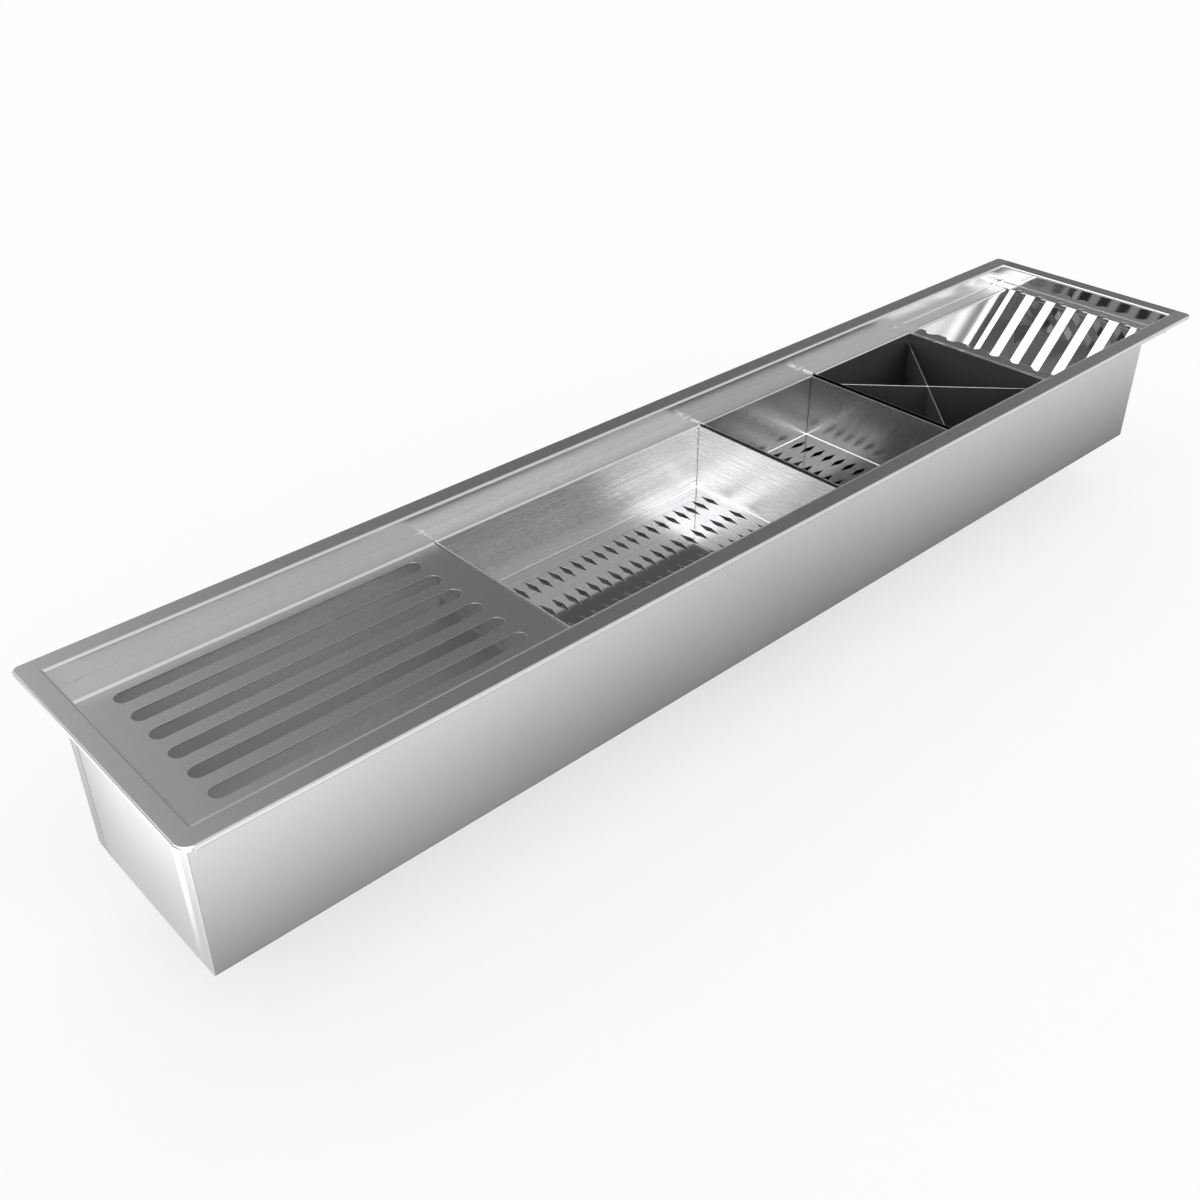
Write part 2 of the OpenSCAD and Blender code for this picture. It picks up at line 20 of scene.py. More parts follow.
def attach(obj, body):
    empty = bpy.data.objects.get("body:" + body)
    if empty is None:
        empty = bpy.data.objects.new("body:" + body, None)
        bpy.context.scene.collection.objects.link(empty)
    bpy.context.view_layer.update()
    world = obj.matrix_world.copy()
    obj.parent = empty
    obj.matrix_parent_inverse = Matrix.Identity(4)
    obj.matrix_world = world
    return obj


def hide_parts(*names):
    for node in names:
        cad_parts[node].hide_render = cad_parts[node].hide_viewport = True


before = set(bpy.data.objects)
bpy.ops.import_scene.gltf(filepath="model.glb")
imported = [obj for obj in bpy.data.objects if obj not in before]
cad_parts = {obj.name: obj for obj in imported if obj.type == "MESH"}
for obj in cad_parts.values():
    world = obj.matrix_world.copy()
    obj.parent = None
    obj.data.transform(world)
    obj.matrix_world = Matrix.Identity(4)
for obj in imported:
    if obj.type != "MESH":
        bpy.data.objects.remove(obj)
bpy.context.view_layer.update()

LOG = logging.getLogger("wet_trough")
MM = 0.001
# nearly all values of a noise lie between these
NOISE_LOW, NOISE_HIGH = 0.3, 0.7
# a face looks along X where its normal's X is more than this
END_FACE = 0.6
# points of a folded path's table of places
TABLE_POINTS = 20001


class HoleShape(Enum):
    """Shape of the drain holes in a basket's floor."""

    DIAMOND = "diamond"
    ROUND = "round"


def linear(colour: str) -> tuple[float, float, float, float]:
    """Turns an sRGB hex colour into linear RGBA.

    Args:
        colour: "#RRGGBB".

    Returns:
        Linear red, green and blue, and an alpha of 1.
    """
    srgb = np.array([int(colour[i:i + 2], 16) for i in (1, 3, 5)]) / 255
    low, high = srgb / 12.92, ((srgb + 0.055) / 1.055) ** 2.4
    return (*map(float, np.where(srgb <= 0.04045, low, high)), 1.0)


def add_node(tree: NodeTree, kind: str, inputs: Optional[dict] = None, **settings: object) -> Node:
    """Adds one shader node with its settings, values and links.

    Args:
        tree: The tree that gets the node.
        kind: Blender's name of the node's type, without ShaderNode.
        inputs: For each input, by name or number, a value, an output socket, or a node whose
            first output in use is linked.
        settings: Properties of the node itself.

    Returns:
        The new node.
    """
    node = tree.nodes.new("ShaderNode" + kind)
    for name, value in settings.items():
        setattr(node, name, value)
    for key, value in (inputs or {}).items():
        if isinstance(value, Node):
            value = next(o for o in value.outputs if o.enabled)
        if isinstance(value, NodeSocket):
            tree.links.new(value, node.inputs[key])
        else:
            node.inputs[key].default_value = value
    return node


def node_tree(owner: Material | World) -> NodeTree:
    """Gives a material or a world an empty node tree.

    Args:
        owner: The material or world.

    Returns:
        Its node tree.
    """
    owner.use_nodes = True
    owner.node_tree.nodes.clear()
    return owner.node_tree


@dataclass(frozen=True)
class Inside:
    """Where and how a sheet is duller: right of start, and less than half from the middle. In mm.

    Left of split that holds for all under high. Over a length of blend the limit goes down to low.
    """

    half: float = 71.2
    start: float = -484.0
    split: float = -205.0
    blend: float = 10.0
    high: float = -15.6
    low: float = -80.0
    roughness: float = 0.7
    metallic: float = 0.1


@dataclass(frozen=True)
class Steel:
    """Steel or brass. Its grain is drawn by a stretched noise that moves roughness and bump.

    The grain of a real satin sheet is finer than 0.1 mm, which a render of the whole trough
    doesn't show, so it is drawn at grain_mm, a few times coarser. Coated steel can be bare above
    bare_above_mm. Left of painted_shade_end_mm it is painted black all over, as painted shade,
    except on the lips, which are more than lip_from_mm from the middle.
    """

    name: str
    colour: str
    shade: str
    roughness: float
    roughness_play: float
    grain_mm: float
    grain_length_mm: float
    bump_um: float
    anisotropy: float = 0.0
    cloud_mm: float = 90.0
    metallic: float = 1.0
    bare: Optional[str] = None
    bare_above_mm: float = 0.0
    painted_shade_end_mm: float = -1000.0
    lip_from_mm: float = 71.0
    painted_shade_colour: str = "#060606"
    inside: Optional[Inside] = None

    def grain(self, tree: NodeTree, place: NodeSocket, lengths: tuple[float, float, float]) -> Node:
        """Noise stretched to the given lengths, in millimetres along X, Y and Z."""
        scaled = add_node(tree, "Mapping", {"Vector": place, "Scale": [1 / (MM * s) for s in lengths]})
        return add_node(tree, "TexNoise", {"Vector": scaled, "Scale": 1.0, "Detail": 2.0, "Roughness": 0.6})

    def material(self) -> Material:
        """Builds the material: on long faces the grain runs along X, on end faces along Y.

        Returns:
            The material.
        """
        made = bpy.data.materials.new(self.name)
        tree = node_tree(made)
        place = add_node(tree, "TexCoord").outputs["Object"]
        facing = add_node(tree, "NewGeometry").outputs["True Normal"]
        end_face = add_node(tree, "Math", {
            0: add_node(tree, "SeparateXYZ", {0: facing}).outputs["X"]}, operation="ABSOLUTE")
        # the strokes run along X, or along Y on a face that looks along X
        turned = add_node(tree, "Math", {0: end_face, 1: END_FACE}, operation="GREATER_THAN")
        stroke = add_node(tree, "Mix", {0: turned, 4: (1, 0, 0), 5: (0, 1, 0)}, data_type="VECTOR")
        across = add_node(tree, "VectorMath", {0: facing, 1: stroke}, operation="CROSS_PRODUCT")
        fine, long = self.grain_mm, self.grain_length_mm
        streaks = add_node(tree, "Mix", {
            0: end_face,
            2: self.grain(tree, place, (long, fine, fine)),
            3: self.grain(tree, place, (long, long, fine))})
        rough = add_node(tree, "MapRange", {
            "Value": streaks, "From Min": NOISE_LOW, "From Max": NOISE_HIGH,
            "To Min": self.roughness - self.roughness_play,
            "To Max": self.roughness + self.roughness_play})
        cloud = self.grain(tree, place, (self.cloud_mm,) * 3)
        tone = add_node(tree, "Mix", {
            "Factor": cloud, 6: linear(self.shade), 7: linear(self.colour)}, data_type="RGBA")
        metal = self.metallic
        if self.bare or self.inside:
            x, y, z = add_node(tree, "SeparateXYZ", {0: place}).outputs
            side = add_node(tree, "Math", {0: y}, operation="ABSOLUTE")
        if self.bare:
            above, right, lip = (
                add_node(tree, "Math", {0: value, 1: limit * MM}, operation="GREATER_THAN")
                for value, limit in ((z, self.bare_above_mm), (x, self.painted_shade_end_mm),
                                     (side, self.lip_from_mm)))
            # painted shade: off the lips and left of the limit along X, the sheet is painted black,
            # standing in for the dark gap beside the small basket
            outside_painted_shade = add_node(tree, "Math", {0: right, 1: lip}, operation="MAXIMUM")
            bare = add_node(tree, "Math", {0: above, 1: outside_painted_shade}, operation="MULTIPLY")
            for share, first, second in ((bare, None, linear(self.bare)), (outside_painted_shade, linear(self.painted_shade_colour), None)):
                tone = add_node(tree, "Mix", {
                    "Factor": share, 6: first or tone, 7: second or tone}, data_type="RGBA")
            metal = add_node(tree, "Mix", {0: bare, 2: metal, 3: 1.0})
        if self.inside:
            area = self.inside
            under = add_node(tree, "MapRange", {
                "Value": x, "From Min": area.split * MM, "From Max": (area.split + area.blend) * MM,
                "To Min": area.high * MM, "To Max": area.low * MM})
            dull = 1.0
            for value, limit, way in ((z, under, "LESS_THAN"), (side, area.half * MM, "LESS_THAN"),
                                      (x, area.start * MM, "GREATER_THAN")):
                part = add_node(tree, "Math", {0: value, 1: limit}, operation=way)
                dull = add_node(tree, "Math", {0: part, 1: dull}, operation="MULTIPLY")
            rough = add_node(tree, "Mix", {0: dull, 2: rough, 3: area.roughness})
            metal = add_node(tree, "Mix", {0: dull, 2: metal, 3: area.metallic})
        relief = add_node(tree, "Bump", {"Height": streaks, "Distance": self.bump_um * 1e-6})
        shader = add_node(tree, "BsdfPrincipled", {
            "Base Color": tone, "Metallic": metal, "Roughness": rough,
            "Anisotropic": self.anisotropy, "Tangent": across, "Normal": relief})
        add_node(tree, "OutputMaterial", {0: shader})
        return made


# Satin sheet: broad soft reflections that fade from bright to grey down a wall. Inside the trough
# it is dull, because the inserts shade it.
SATIN_SHEET = Steel("satin_stainless_sheet", "#D6D6D7", "#D0D0D1", 0.26, 0.01, 0.5, 70, 0.2,
                    inside=Inside())
# Coarsely brushed sheet: long strokes that draw bright streaks and smear what it reflects at
# right angles to them.
BRUSHED_SHEET = Steel("brushed_stainless_sheet", "#EBEBEC", "#E6E6E7", 0.28, 0.07, 0.9, 130, 1.6, 0.85)
# Finely brushed, greyer sheet: its neighbours still show in it, drawn out at right angles to the
# strokes, and it goes dark grey where light reaches it after two or three reflections.
FINE_BRUSHED_SHEET = Steel("fine_brushed_stainless_sheet", "#CCCCCC", "#C7C7C7",
                           0.2, 0.02, 0.6, 90, 0.4, 0.8)
# Polished sheet: nearly a mirror, which shows its neighbours and the bright parts of the studio.
# The floor plates are greyer than the rest, and the small basket's is the greyest.
POLISHED_SHEET = Steel("polished_stainless_sheet", "#D9D9DA", "#D5D5D6", 0.07, 0.015, 0.5, 60, 0.2)
TRAY_FLOOR = Steel("polished_tray_floor", "#B8B8B9", "#B4B4B5", 0.07, 0.015, 0.5, 60, 0.2)
BASKET_FLOOR = Steel("grey_polished_floor", "#808080", "#7C7C7C", 0.09, 0.015, 0.5, 60, 0.2)
# Black coated steel with a deep gloss. The lips, which slide on the ledges, and the dividers'
# cut edges are bare. The face that closes the gap to the small basket is black painted shade.
DARK_SHEET = Steel("black_coated_steel", "#5E5E60", "#58585A", 0.12, 0.02, 0.5, 60, 0.4, metallic=0.35,
                   bare="#D6D6D7", bare_above_mm=-14.2, painted_shade_end_mm=182.1)
DARK_DIVIDER = Steel("black_coated_divider", "#5E5E60", "#58585A", 0.12, 0.02, 0.5, 60, 0.4, metallic=0.35,
                     bare="#E2E2E3", bare_above_mm=-22.1)
# Deep-drawn waste parts in polished steel.
WASTE_STEEL = Steel("deep_drawn_stainless", "#D4D4D2", "#CECECC", 0.18, 0.03, 0.4, 0.8, 0.8)
# Turned brass insert: warm yellow metal with fine turning marks.
TURNED_BRASS = Steel("turned_brass", "#E0BE78", "#D2AE66", 0.28, 0.05, 0.3, 0.6, 2.0)


@dataclass(frozen=True)
class Moulded:
    """Plastic, rubber or foam: a dielectric with a grain in its bump."""

    name: str
    colour: str
    shade: str
    roughness: float
    grain_mm: float
    bump_um: float

    def material(self) -> Material:
        """Builds the material from one noise that shades the colour and lifts the surface.

        Returns:
            The material.
        """
        made = bpy.data.materials.new(self.name)
        tree = node_tree(made)
        noise = add_node(tree, "TexNoise", {
            "Vector": add_node(tree, "TexCoord").outputs["Object"],
            "Scale": 1 / (MM * self.grain_mm), "Detail": 3.0})
        tone = add_node(tree, "Mix", {
            "Factor": noise, 6: linear(self.shade), 7: linear(self.colour)}, data_type="RGBA")
        relief = add_node(tree, "Bump", {"Height": noise, "Distance": self.bump_um * 1e-6})
        shader = add_node(tree, "BsdfPrincipled", {
            "Base Color": tone, "Roughness": self.roughness, "Normal": relief})
        add_node(tree, "OutputMaterial", {0: shader})
        return made


# Polypropylene moulding: light grey, softly shiny, with an eroded mould grain.
GREY_MOULDING = Moulded("moulded_polypropylene", "#8F9396", "#868A8D", 0.42, 0.6, 20)
# Nitrile rubber: dull black, slightly uneven.
BLACK_RUBBER = Moulded("nitrile_rubber", "#2B2B2C", "#232324", 0.62, 1.2, 30)
# Closed-cell foam strip: dull dark grey with cells of about half a millimetre.
CELL_FOAM = Moulded("closed_cell_foam", "#4B4B4C", "#3A3A3B", 0.85, 0.5, 120)


@dataclass
class Loop:
    """A closed outline: its points, the normals that point out of the sheet, and its edge's radius."""

    points: np.ndarray
    normals: np.ndarray
    edge: np.ndarray


def rounded_loop(corners: Sequence, radius: Sequence | float, edge: Sequence | float,
                 steps: int = 4) -> Loop:
    """Rounds the corners of a closed flat outline.

    Each corner P becomes an arc: with n0 and n1 the outward normals of its two edges, the
    arc's centre is P - s * r * (n0 + n1) / (1 + n0 . n1), and its points are the centre
    + s * r * n, where n turns from n0 to n1 and s is 1 at a convex corner and -1 at a hollow one.

    Args:
        corners: Points in millimetres, anticlockwise for an outline and clockwise for a hole.
        radius: Radius of every corner, or one for each. No less than the edge's, where convex.
        edge: Radius of the sheet's broken edge, or one for each corner.
        steps: Straight pieces in each arc.

    Returns:
        The outline, in metres.
    """
    p = np.asarray(corners, float) * MM
    r = np.broadcast_to(np.asarray(radius, float) * MM, len(p))
    ahead = np.roll(p, -1, 0) - p
    ahead /= np.linalg.norm(ahead, axis=1)[:, None]
    after = np.stack([ahead[:, 1], -ahead[:, 0]], 1)
    before = np.roll(after, 1, 0)
    cosine = np.clip((before * after).sum(1), -1, 1)
    side = np.sign(before[:, 0] * after[:, 1] - before[:, 1] * after[:, 0])
    centre = p - (side * r / (1 + cosine))[:, None] * (before + after)
    turn = np.linspace(0, 1, steps + 1)[None, :, None]
    angle = np.maximum(np.arccos(cosine), 1e-6)[:, None, None]
    normal = (np.sin((1 - turn) * angle) * before[:, None]
              + np.sin(turn * angle) * after[:, None]) / np.sin(angle)
    points = centre[:, None] + (side * r)[:, None, None] * normal
    edges = np.repeat(np.broadcast_to(np.asarray(edge, float) * MM, len(p)), steps + 1)
    return Loop(points.reshape(-1, 2), normal.reshape(-1, 2), edges)


def smooth_loop(points: np.ndarray, edge: float) -> Loop:
    """A smooth closed outline: each normal is at right angles to the line between its neighbours.

    Args:
        points: Its points, in metres.
        edge: Radius of the sheet's broken edge, in millimetres.

    Returns:
        The outline.
    """
    along = np.roll(points, -1, 0) - np.roll(points, 1, 0)
    out = np.stack([along[:, 1], -along[:, 0]], 1)
    return Loop(points, out / np.linalg.norm(out, axis=1)[:, None], np.full(len(points), edge * MM))


def round_hole(x: float, y: float, diameter: float, edge: float, count: int = 24) -> Loop:
    """A clockwise circle: centre + r * n, where n turns once backwards.

    Args:
        x: First coordinate of its centre, in millimetres.
        y: Second coordinate of its centre.
        diameter: Its diameter.
        edge: Radius of the sheet's broken edge.
        count: How many points it has.

    Returns:
        The hole's outline, in metres.
    """
    a = -np.arange(count) * 2 * math.pi / count
    out = np.stack([np.cos(a), np.sin(a)], 1)
    return Loop((np.array([x, y]) + diameter / 2 * out) * MM, -out, np.full(count, edge * MM))


def slot_hole(low: float, high: float, mid: float, width: float, count: int = 16) -> np.ndarray:
    """A clockwise obround outline in millimetres, with a half circle at each end.

    Args:
        low: Lower tip.
        high: Upper tip.
        mid: Place of its middle line.
        width: Width across.
        count: Straight pieces in each half circle.

    Returns:
        Points along the outline.
    """
    r = width / 2
    a = np.linspace(math.pi / 2, -math.pi / 2, count + 1)
    cap = np.stack([np.cos(a), np.sin(a)], 1) * r
    return np.concatenate([cap + (high - r, mid), -cap + (low + r, mid)])


class FoldedPath:
    """Middle line of a folded sheet, drawn in a plane: straight runs joined by arcs.

    A place on it is found from the distance u along it. On a straight run the point is
    start + u * heading. On an arc of curvature k it is
    start + (sin(h + k u) - sin h, cos h - cos(h + k u)) / k, where h is the heading's angle.
    """

    def __init__(self, corners: Sequence, inside_radius: Sequence | float, thickness: float,
                 steps: int = 8) -> None:
        """Works out the runs.

        Args:
            corners: The path's corners in millimetres.
            inside_radius: Inside radius of every fold, or one for each, in millimetres.
            thickness: Thickness of the sheet, in millimetres.
            steps: Straight pieces drawn in each fold.
        """
        p = np.asarray(corners, float) * MM
        r = (np.broadcast_to(np.asarray(inside_radius, float), max(len(p) - 2, 0)) + thickness / 2) * MM
        run = np.diff(p, axis=0)
        size = np.linalg.norm(run, axis=1)
        heading = np.arctan2(run[:, 1], run[:, 0])
        turn = (np.diff(heading) + math.pi) % (2 * math.pi) - math.pi
        cut = r * np.tan(np.abs(turn) / 2)
        flat = size - np.append(0, cut) - np.append(cut, 0)
        count = 2 * len(run) - 1
        length = np.empty(count)
        length[0::2], length[1::2] = flat, r * np.abs(turn)
        self.heading = np.repeat(heading, 2)[:count]
        self.curve = np.zeros(count)
        self.curve[1::2] = np.sign(turn) / r
        self.begin = np.append(0, np.cumsum(length))
        self.start = np.empty((count, 2))
        ahead = run / size[:, None]
        self.start[0] = p[0]
        self.start[1::2] = p[1:-1] - ahead[:-1] * cut[:, None]
        self.start[2::2] = p[1:-1] + ahead[1:] * cut[:, None]
        self.total = self.begin[-1]
        self.stations = np.concatenate([
            np.linspace(self.begin[i], self.begin[i + 1], steps + 1) for i in range(1, count, 2)
        ]) if count > 1 else np.empty(0)
        table = np.linspace(0, self.total, TABLE_POINTS)
        self.table, self.table_at = table, self.place(table)[0]

    def place(self, u: np.ndarray) -> tuple[np.ndarray, np.ndarray, np.ndarray]:
        """Point, heading and left-hand normal at each distance u.

        Args:
            u: Distances along the path, in metres.

        Returns:
            Three arrays with a row for each, in the path's plane.
        """
        i = np.clip(np.searchsorted(self.begin, u, side="right") - 1, 0, len(self.curve) - 1)
        s, h, k = u - self.begin[i], self.heading[i], self.curve[i]
        safe = np.where(k == 0, 1, k)
        now = h + k * s
        straight = s[:, None] * np.stack([np.cos(h), np.sin(h)], 1)
        bent = np.stack([np.sin(now) - np.sin(h), np.cos(h) - np.cos(now)], 1) / safe[:, None]
        at = self.start[i] + np.where((k == 0)[:, None], straight, bent)
        return at, np.stack([np.cos(now), np.sin(now)], 1), np.stack([-np.sin(now), np.cos(now)], 1)

    def fold(self, number: int, share: float = 0.0) -> float:
        """Distance in millimetres to a fold, counted from 1. A share of 0 is its start, and 1 its end."""
        return float(self.begin[2 * number - 1] * (1 - share) + self.begin[2 * number] * share) / MM

    def skin(self, thickness: float, edge: float) -> tuple[np.ndarray, np.ndarray]:
        """The sheet's closed outline in the path's plane, with a rounded edge where the path starts.

        It is the path moved to each side by half the thickness t, w = -t/2 and then t/2. Between
        them it turns round the start: at angle a, u = e - e * cos a and w = t/2 - e + e * sin a.

        Args:
            thickness: Thickness of the sheet, in millimetres.
            edge: Radius of the edge, in millimetres.

        Returns:
            Points and their normals, in metres.
        """
        half, e = thickness * MM / 2, edge * MM
        runs = np.concatenate([[e], self.stations, [self.total]])
        a = np.radians(np.linspace(90, 0, 4))
        near, rise, flat = e - e * np.cos(a), np.sin(a), np.ones(len(runs))
        u = np.concatenate([runs[::-1], near[1:], near[::-1][:-1], runs])
        lean = np.concatenate([-flat, -rise[1:], rise[::-1][:-1], flat])
        w = (half - e) * np.concatenate([-flat, -flat[:1].repeat(3), flat[:1].repeat(3), flat]) + e * lean
        at, ahead, left = self.place(u)
        back = -np.sqrt(np.maximum(1 - lean ** 2, 0))
        return at + w[:, None] * left, back[:, None] * ahead + lean[:, None] * left

    def along(self, first: np.ndarray) -> np.ndarray:
        """Distance u at which the path reaches each value of its first coordinate.

        Args:
            first: Those values, in metres. The path goes one way along that coordinate.

        Returns:
            The distances, in metres.
        """
        x = self.table_at[:, 0]
        if x[-1] < x[0]:
            return np.interp(first, x[::-1], self.table[::-1])
        return np.interp(first, x, self.table)


@dataclass
class Surface:
    """Points, their normals and the faces between them, all in metres."""

    points: np.ndarray
    normals: np.ndarray
    faces: list

    def placed(self, axes: Sequence, origin: Sequence = (0, 0, 0)) -> "Surface":
        """Lays the surface's three coordinates along three axes from an origin.

        Args:
            axes: Three unit vectors at right angles.
            origin: Where the coordinates start, in metres.

        Returns:
            The surface in the model's frame, its faces turned to look outwards.
        """
        turn = np.array(axes, float)
        flip = np.linalg.det(turn) < 0
        faces = [f[::-1] for f in self.faces] if flip else self.faces
        return Surface(self.points @ turn + np.array(origin, float), self.normals @ turn, faces)


def swept(outline: np.ndarray, facing: np.ndarray, centres: np.ndarray, out: np.ndarray) -> Surface:
    """Carries a closed outline along a path. Its point (r, z) goes to centre + r * out, at height z.

    Args:
        outline: Points (r, z) of the outline.
        facing: Their normals.
        centres: Place in plan of r = 0 at each station.
        out: Unit vector in plan in which r grows, at each station.

    Returns:
        A closed surface, with its two ends filled.
    """
    rows, n = len(centres), len(outline)
    points, normals = (
        np.concatenate([start + flat[None, :, :1] * out[:, None, :],
                        np.broadcast_to(flat[None, :, 1:], (rows, n, 1))], 2).reshape(-1, 3)
        for flat, start in ((outline, centres[:, None, :]), (facing, 0.0)))
    i = np.arange(rows * n).reshape(rows, n)
    after = np.roll(i, -1, 1)
    faces = np.stack([i[:-1], after[:-1], after[1:], i[1:]], -1).reshape(-1, 4)
    corner = points[faces]
    way = (np.cross(corner[:, 2] - corner[:, 0], corner[:, 3] - corner[:, 1]) * normals[faces[:, 0]]).sum()
    every = faces.tolist() + [i[0].tolist()[::-1], i[-1].tolist()]
    return merged(Surface(points, normals, [f[::-1] for f in every] if way < 0 else every))


def smooth(t: np.ndarray) -> np.ndarray:
    """Goes smoothly from 0 to 1 as 3 t^2 - 2 t^3, and stays there."""
    t = np.clip(t, 0, 1)
    return 3 * t ** 2 - 2 * t ** 3


@dataclass
class Pressing:
    """A shape pressed into a flat run of sheet: a raised panel with four sloping sides. In mm.

    Its height is rise * s((foot - |v|) / slope) * s((u - low) / lead) * s((high - u) / lead), where
    s is the function smooth.
    """

    rise: float
    foot: float
    slope: float
    low: float
    high: float
    lead: float

    def lines(self) -> tuple[np.ndarray, np.ndarray]:
        """Values of u and of v at which the sheet needs points.

        Returns:
            The values of u and those of v, in metres.
        """
        ramp = np.linspace(0, 1, 7)
        u = np.concatenate([self.low + self.lead * ramp, self.high - self.lead * ramp])
        v = self.foot - self.slope * ramp
        return u * MM, np.concatenate([v, -v]) * MM

    def height(self, u: np.ndarray, v: np.ndarray) -> np.ndarray:
        """Height off the sheet at each (u, v).

        Args:
            u: Places along the sheet's path, in metres.
            v: Places across it.

        Returns:
            The heights, in metres.
        """
        shares = [(self.foot * MM - np.abs(v)) / (self.slope * MM), (u / MM - self.low) / self.lead,
                  (self.high - u / MM) / self.lead]
        return self.rise * MM * smooth(np.array(shares)).prod(0)


@dataclass
class WeldLines:
    """Fine lines across a wall, where a part is welded to its other side. In mm.

    Each is a shallow groove, -depth * (1 + cos(pi * t)) / 2 with t = (v - place) / width from -1
    to 1. It fades in and out over a lead at both ends of a span of u.
    """

    depth: float
    width: float
    places: tuple[float, ...]
    spans: tuple[tuple[float, float], ...]
    lead: float = 2.0

    def lines(self) -> tuple[np.ndarray, np.ndarray]:
        """Values of u and of v at which the sheet needs points.

        Returns:
            The values of u and those of v, in metres.
        """
        across = np.linspace(-1, 1, 9) * self.width
        ramp = np.linspace(0, self.lead, 4)
        u = np.concatenate([[a + ramp, b - ramp] for a, b in self.spans])
        return u.ravel() * MM, (np.array(self.places)[:, None] + across).ravel() * MM

    def height(self, u: np.ndarray, v: np.ndarray) -> np.ndarray:
        """Height off the sheet at each (u, v).

        Args:
            u: Places along the sheet's path, in metres.
            v: Places across it.

        Returns:
            The heights, in metres.
        """
        span, at = np.array(self.spans), u[:, None] / MM
        share = smooth(np.minimum(at - span[:, 0], span[:, 1] - at) / self.lead).sum(1)
        across = np.clip((v[:, None] / MM - np.array(self.places)) / self.width, -1, 1)
        return -self.depth * MM * share * ((1 + np.cos(math.pi * across)) / 2).sum(1)


def joined(parts: Sequence[Surface]) -> Surface:
    """One surface from several, each face's numbers moved on by the points before it.

    Args:
        parts: The surfaces.

    Returns:
        All of them as one.
    """
    moves = np.cumsum([0] + [len(p.points) for p in parts])
    return Surface(np.concatenate([p.points for p in parts]), np.concatenate([p.normals for p in parts]),
                   [tuple(int(v + m) for v in f) for p, m in zip(parts, moves) for f in p.faces])


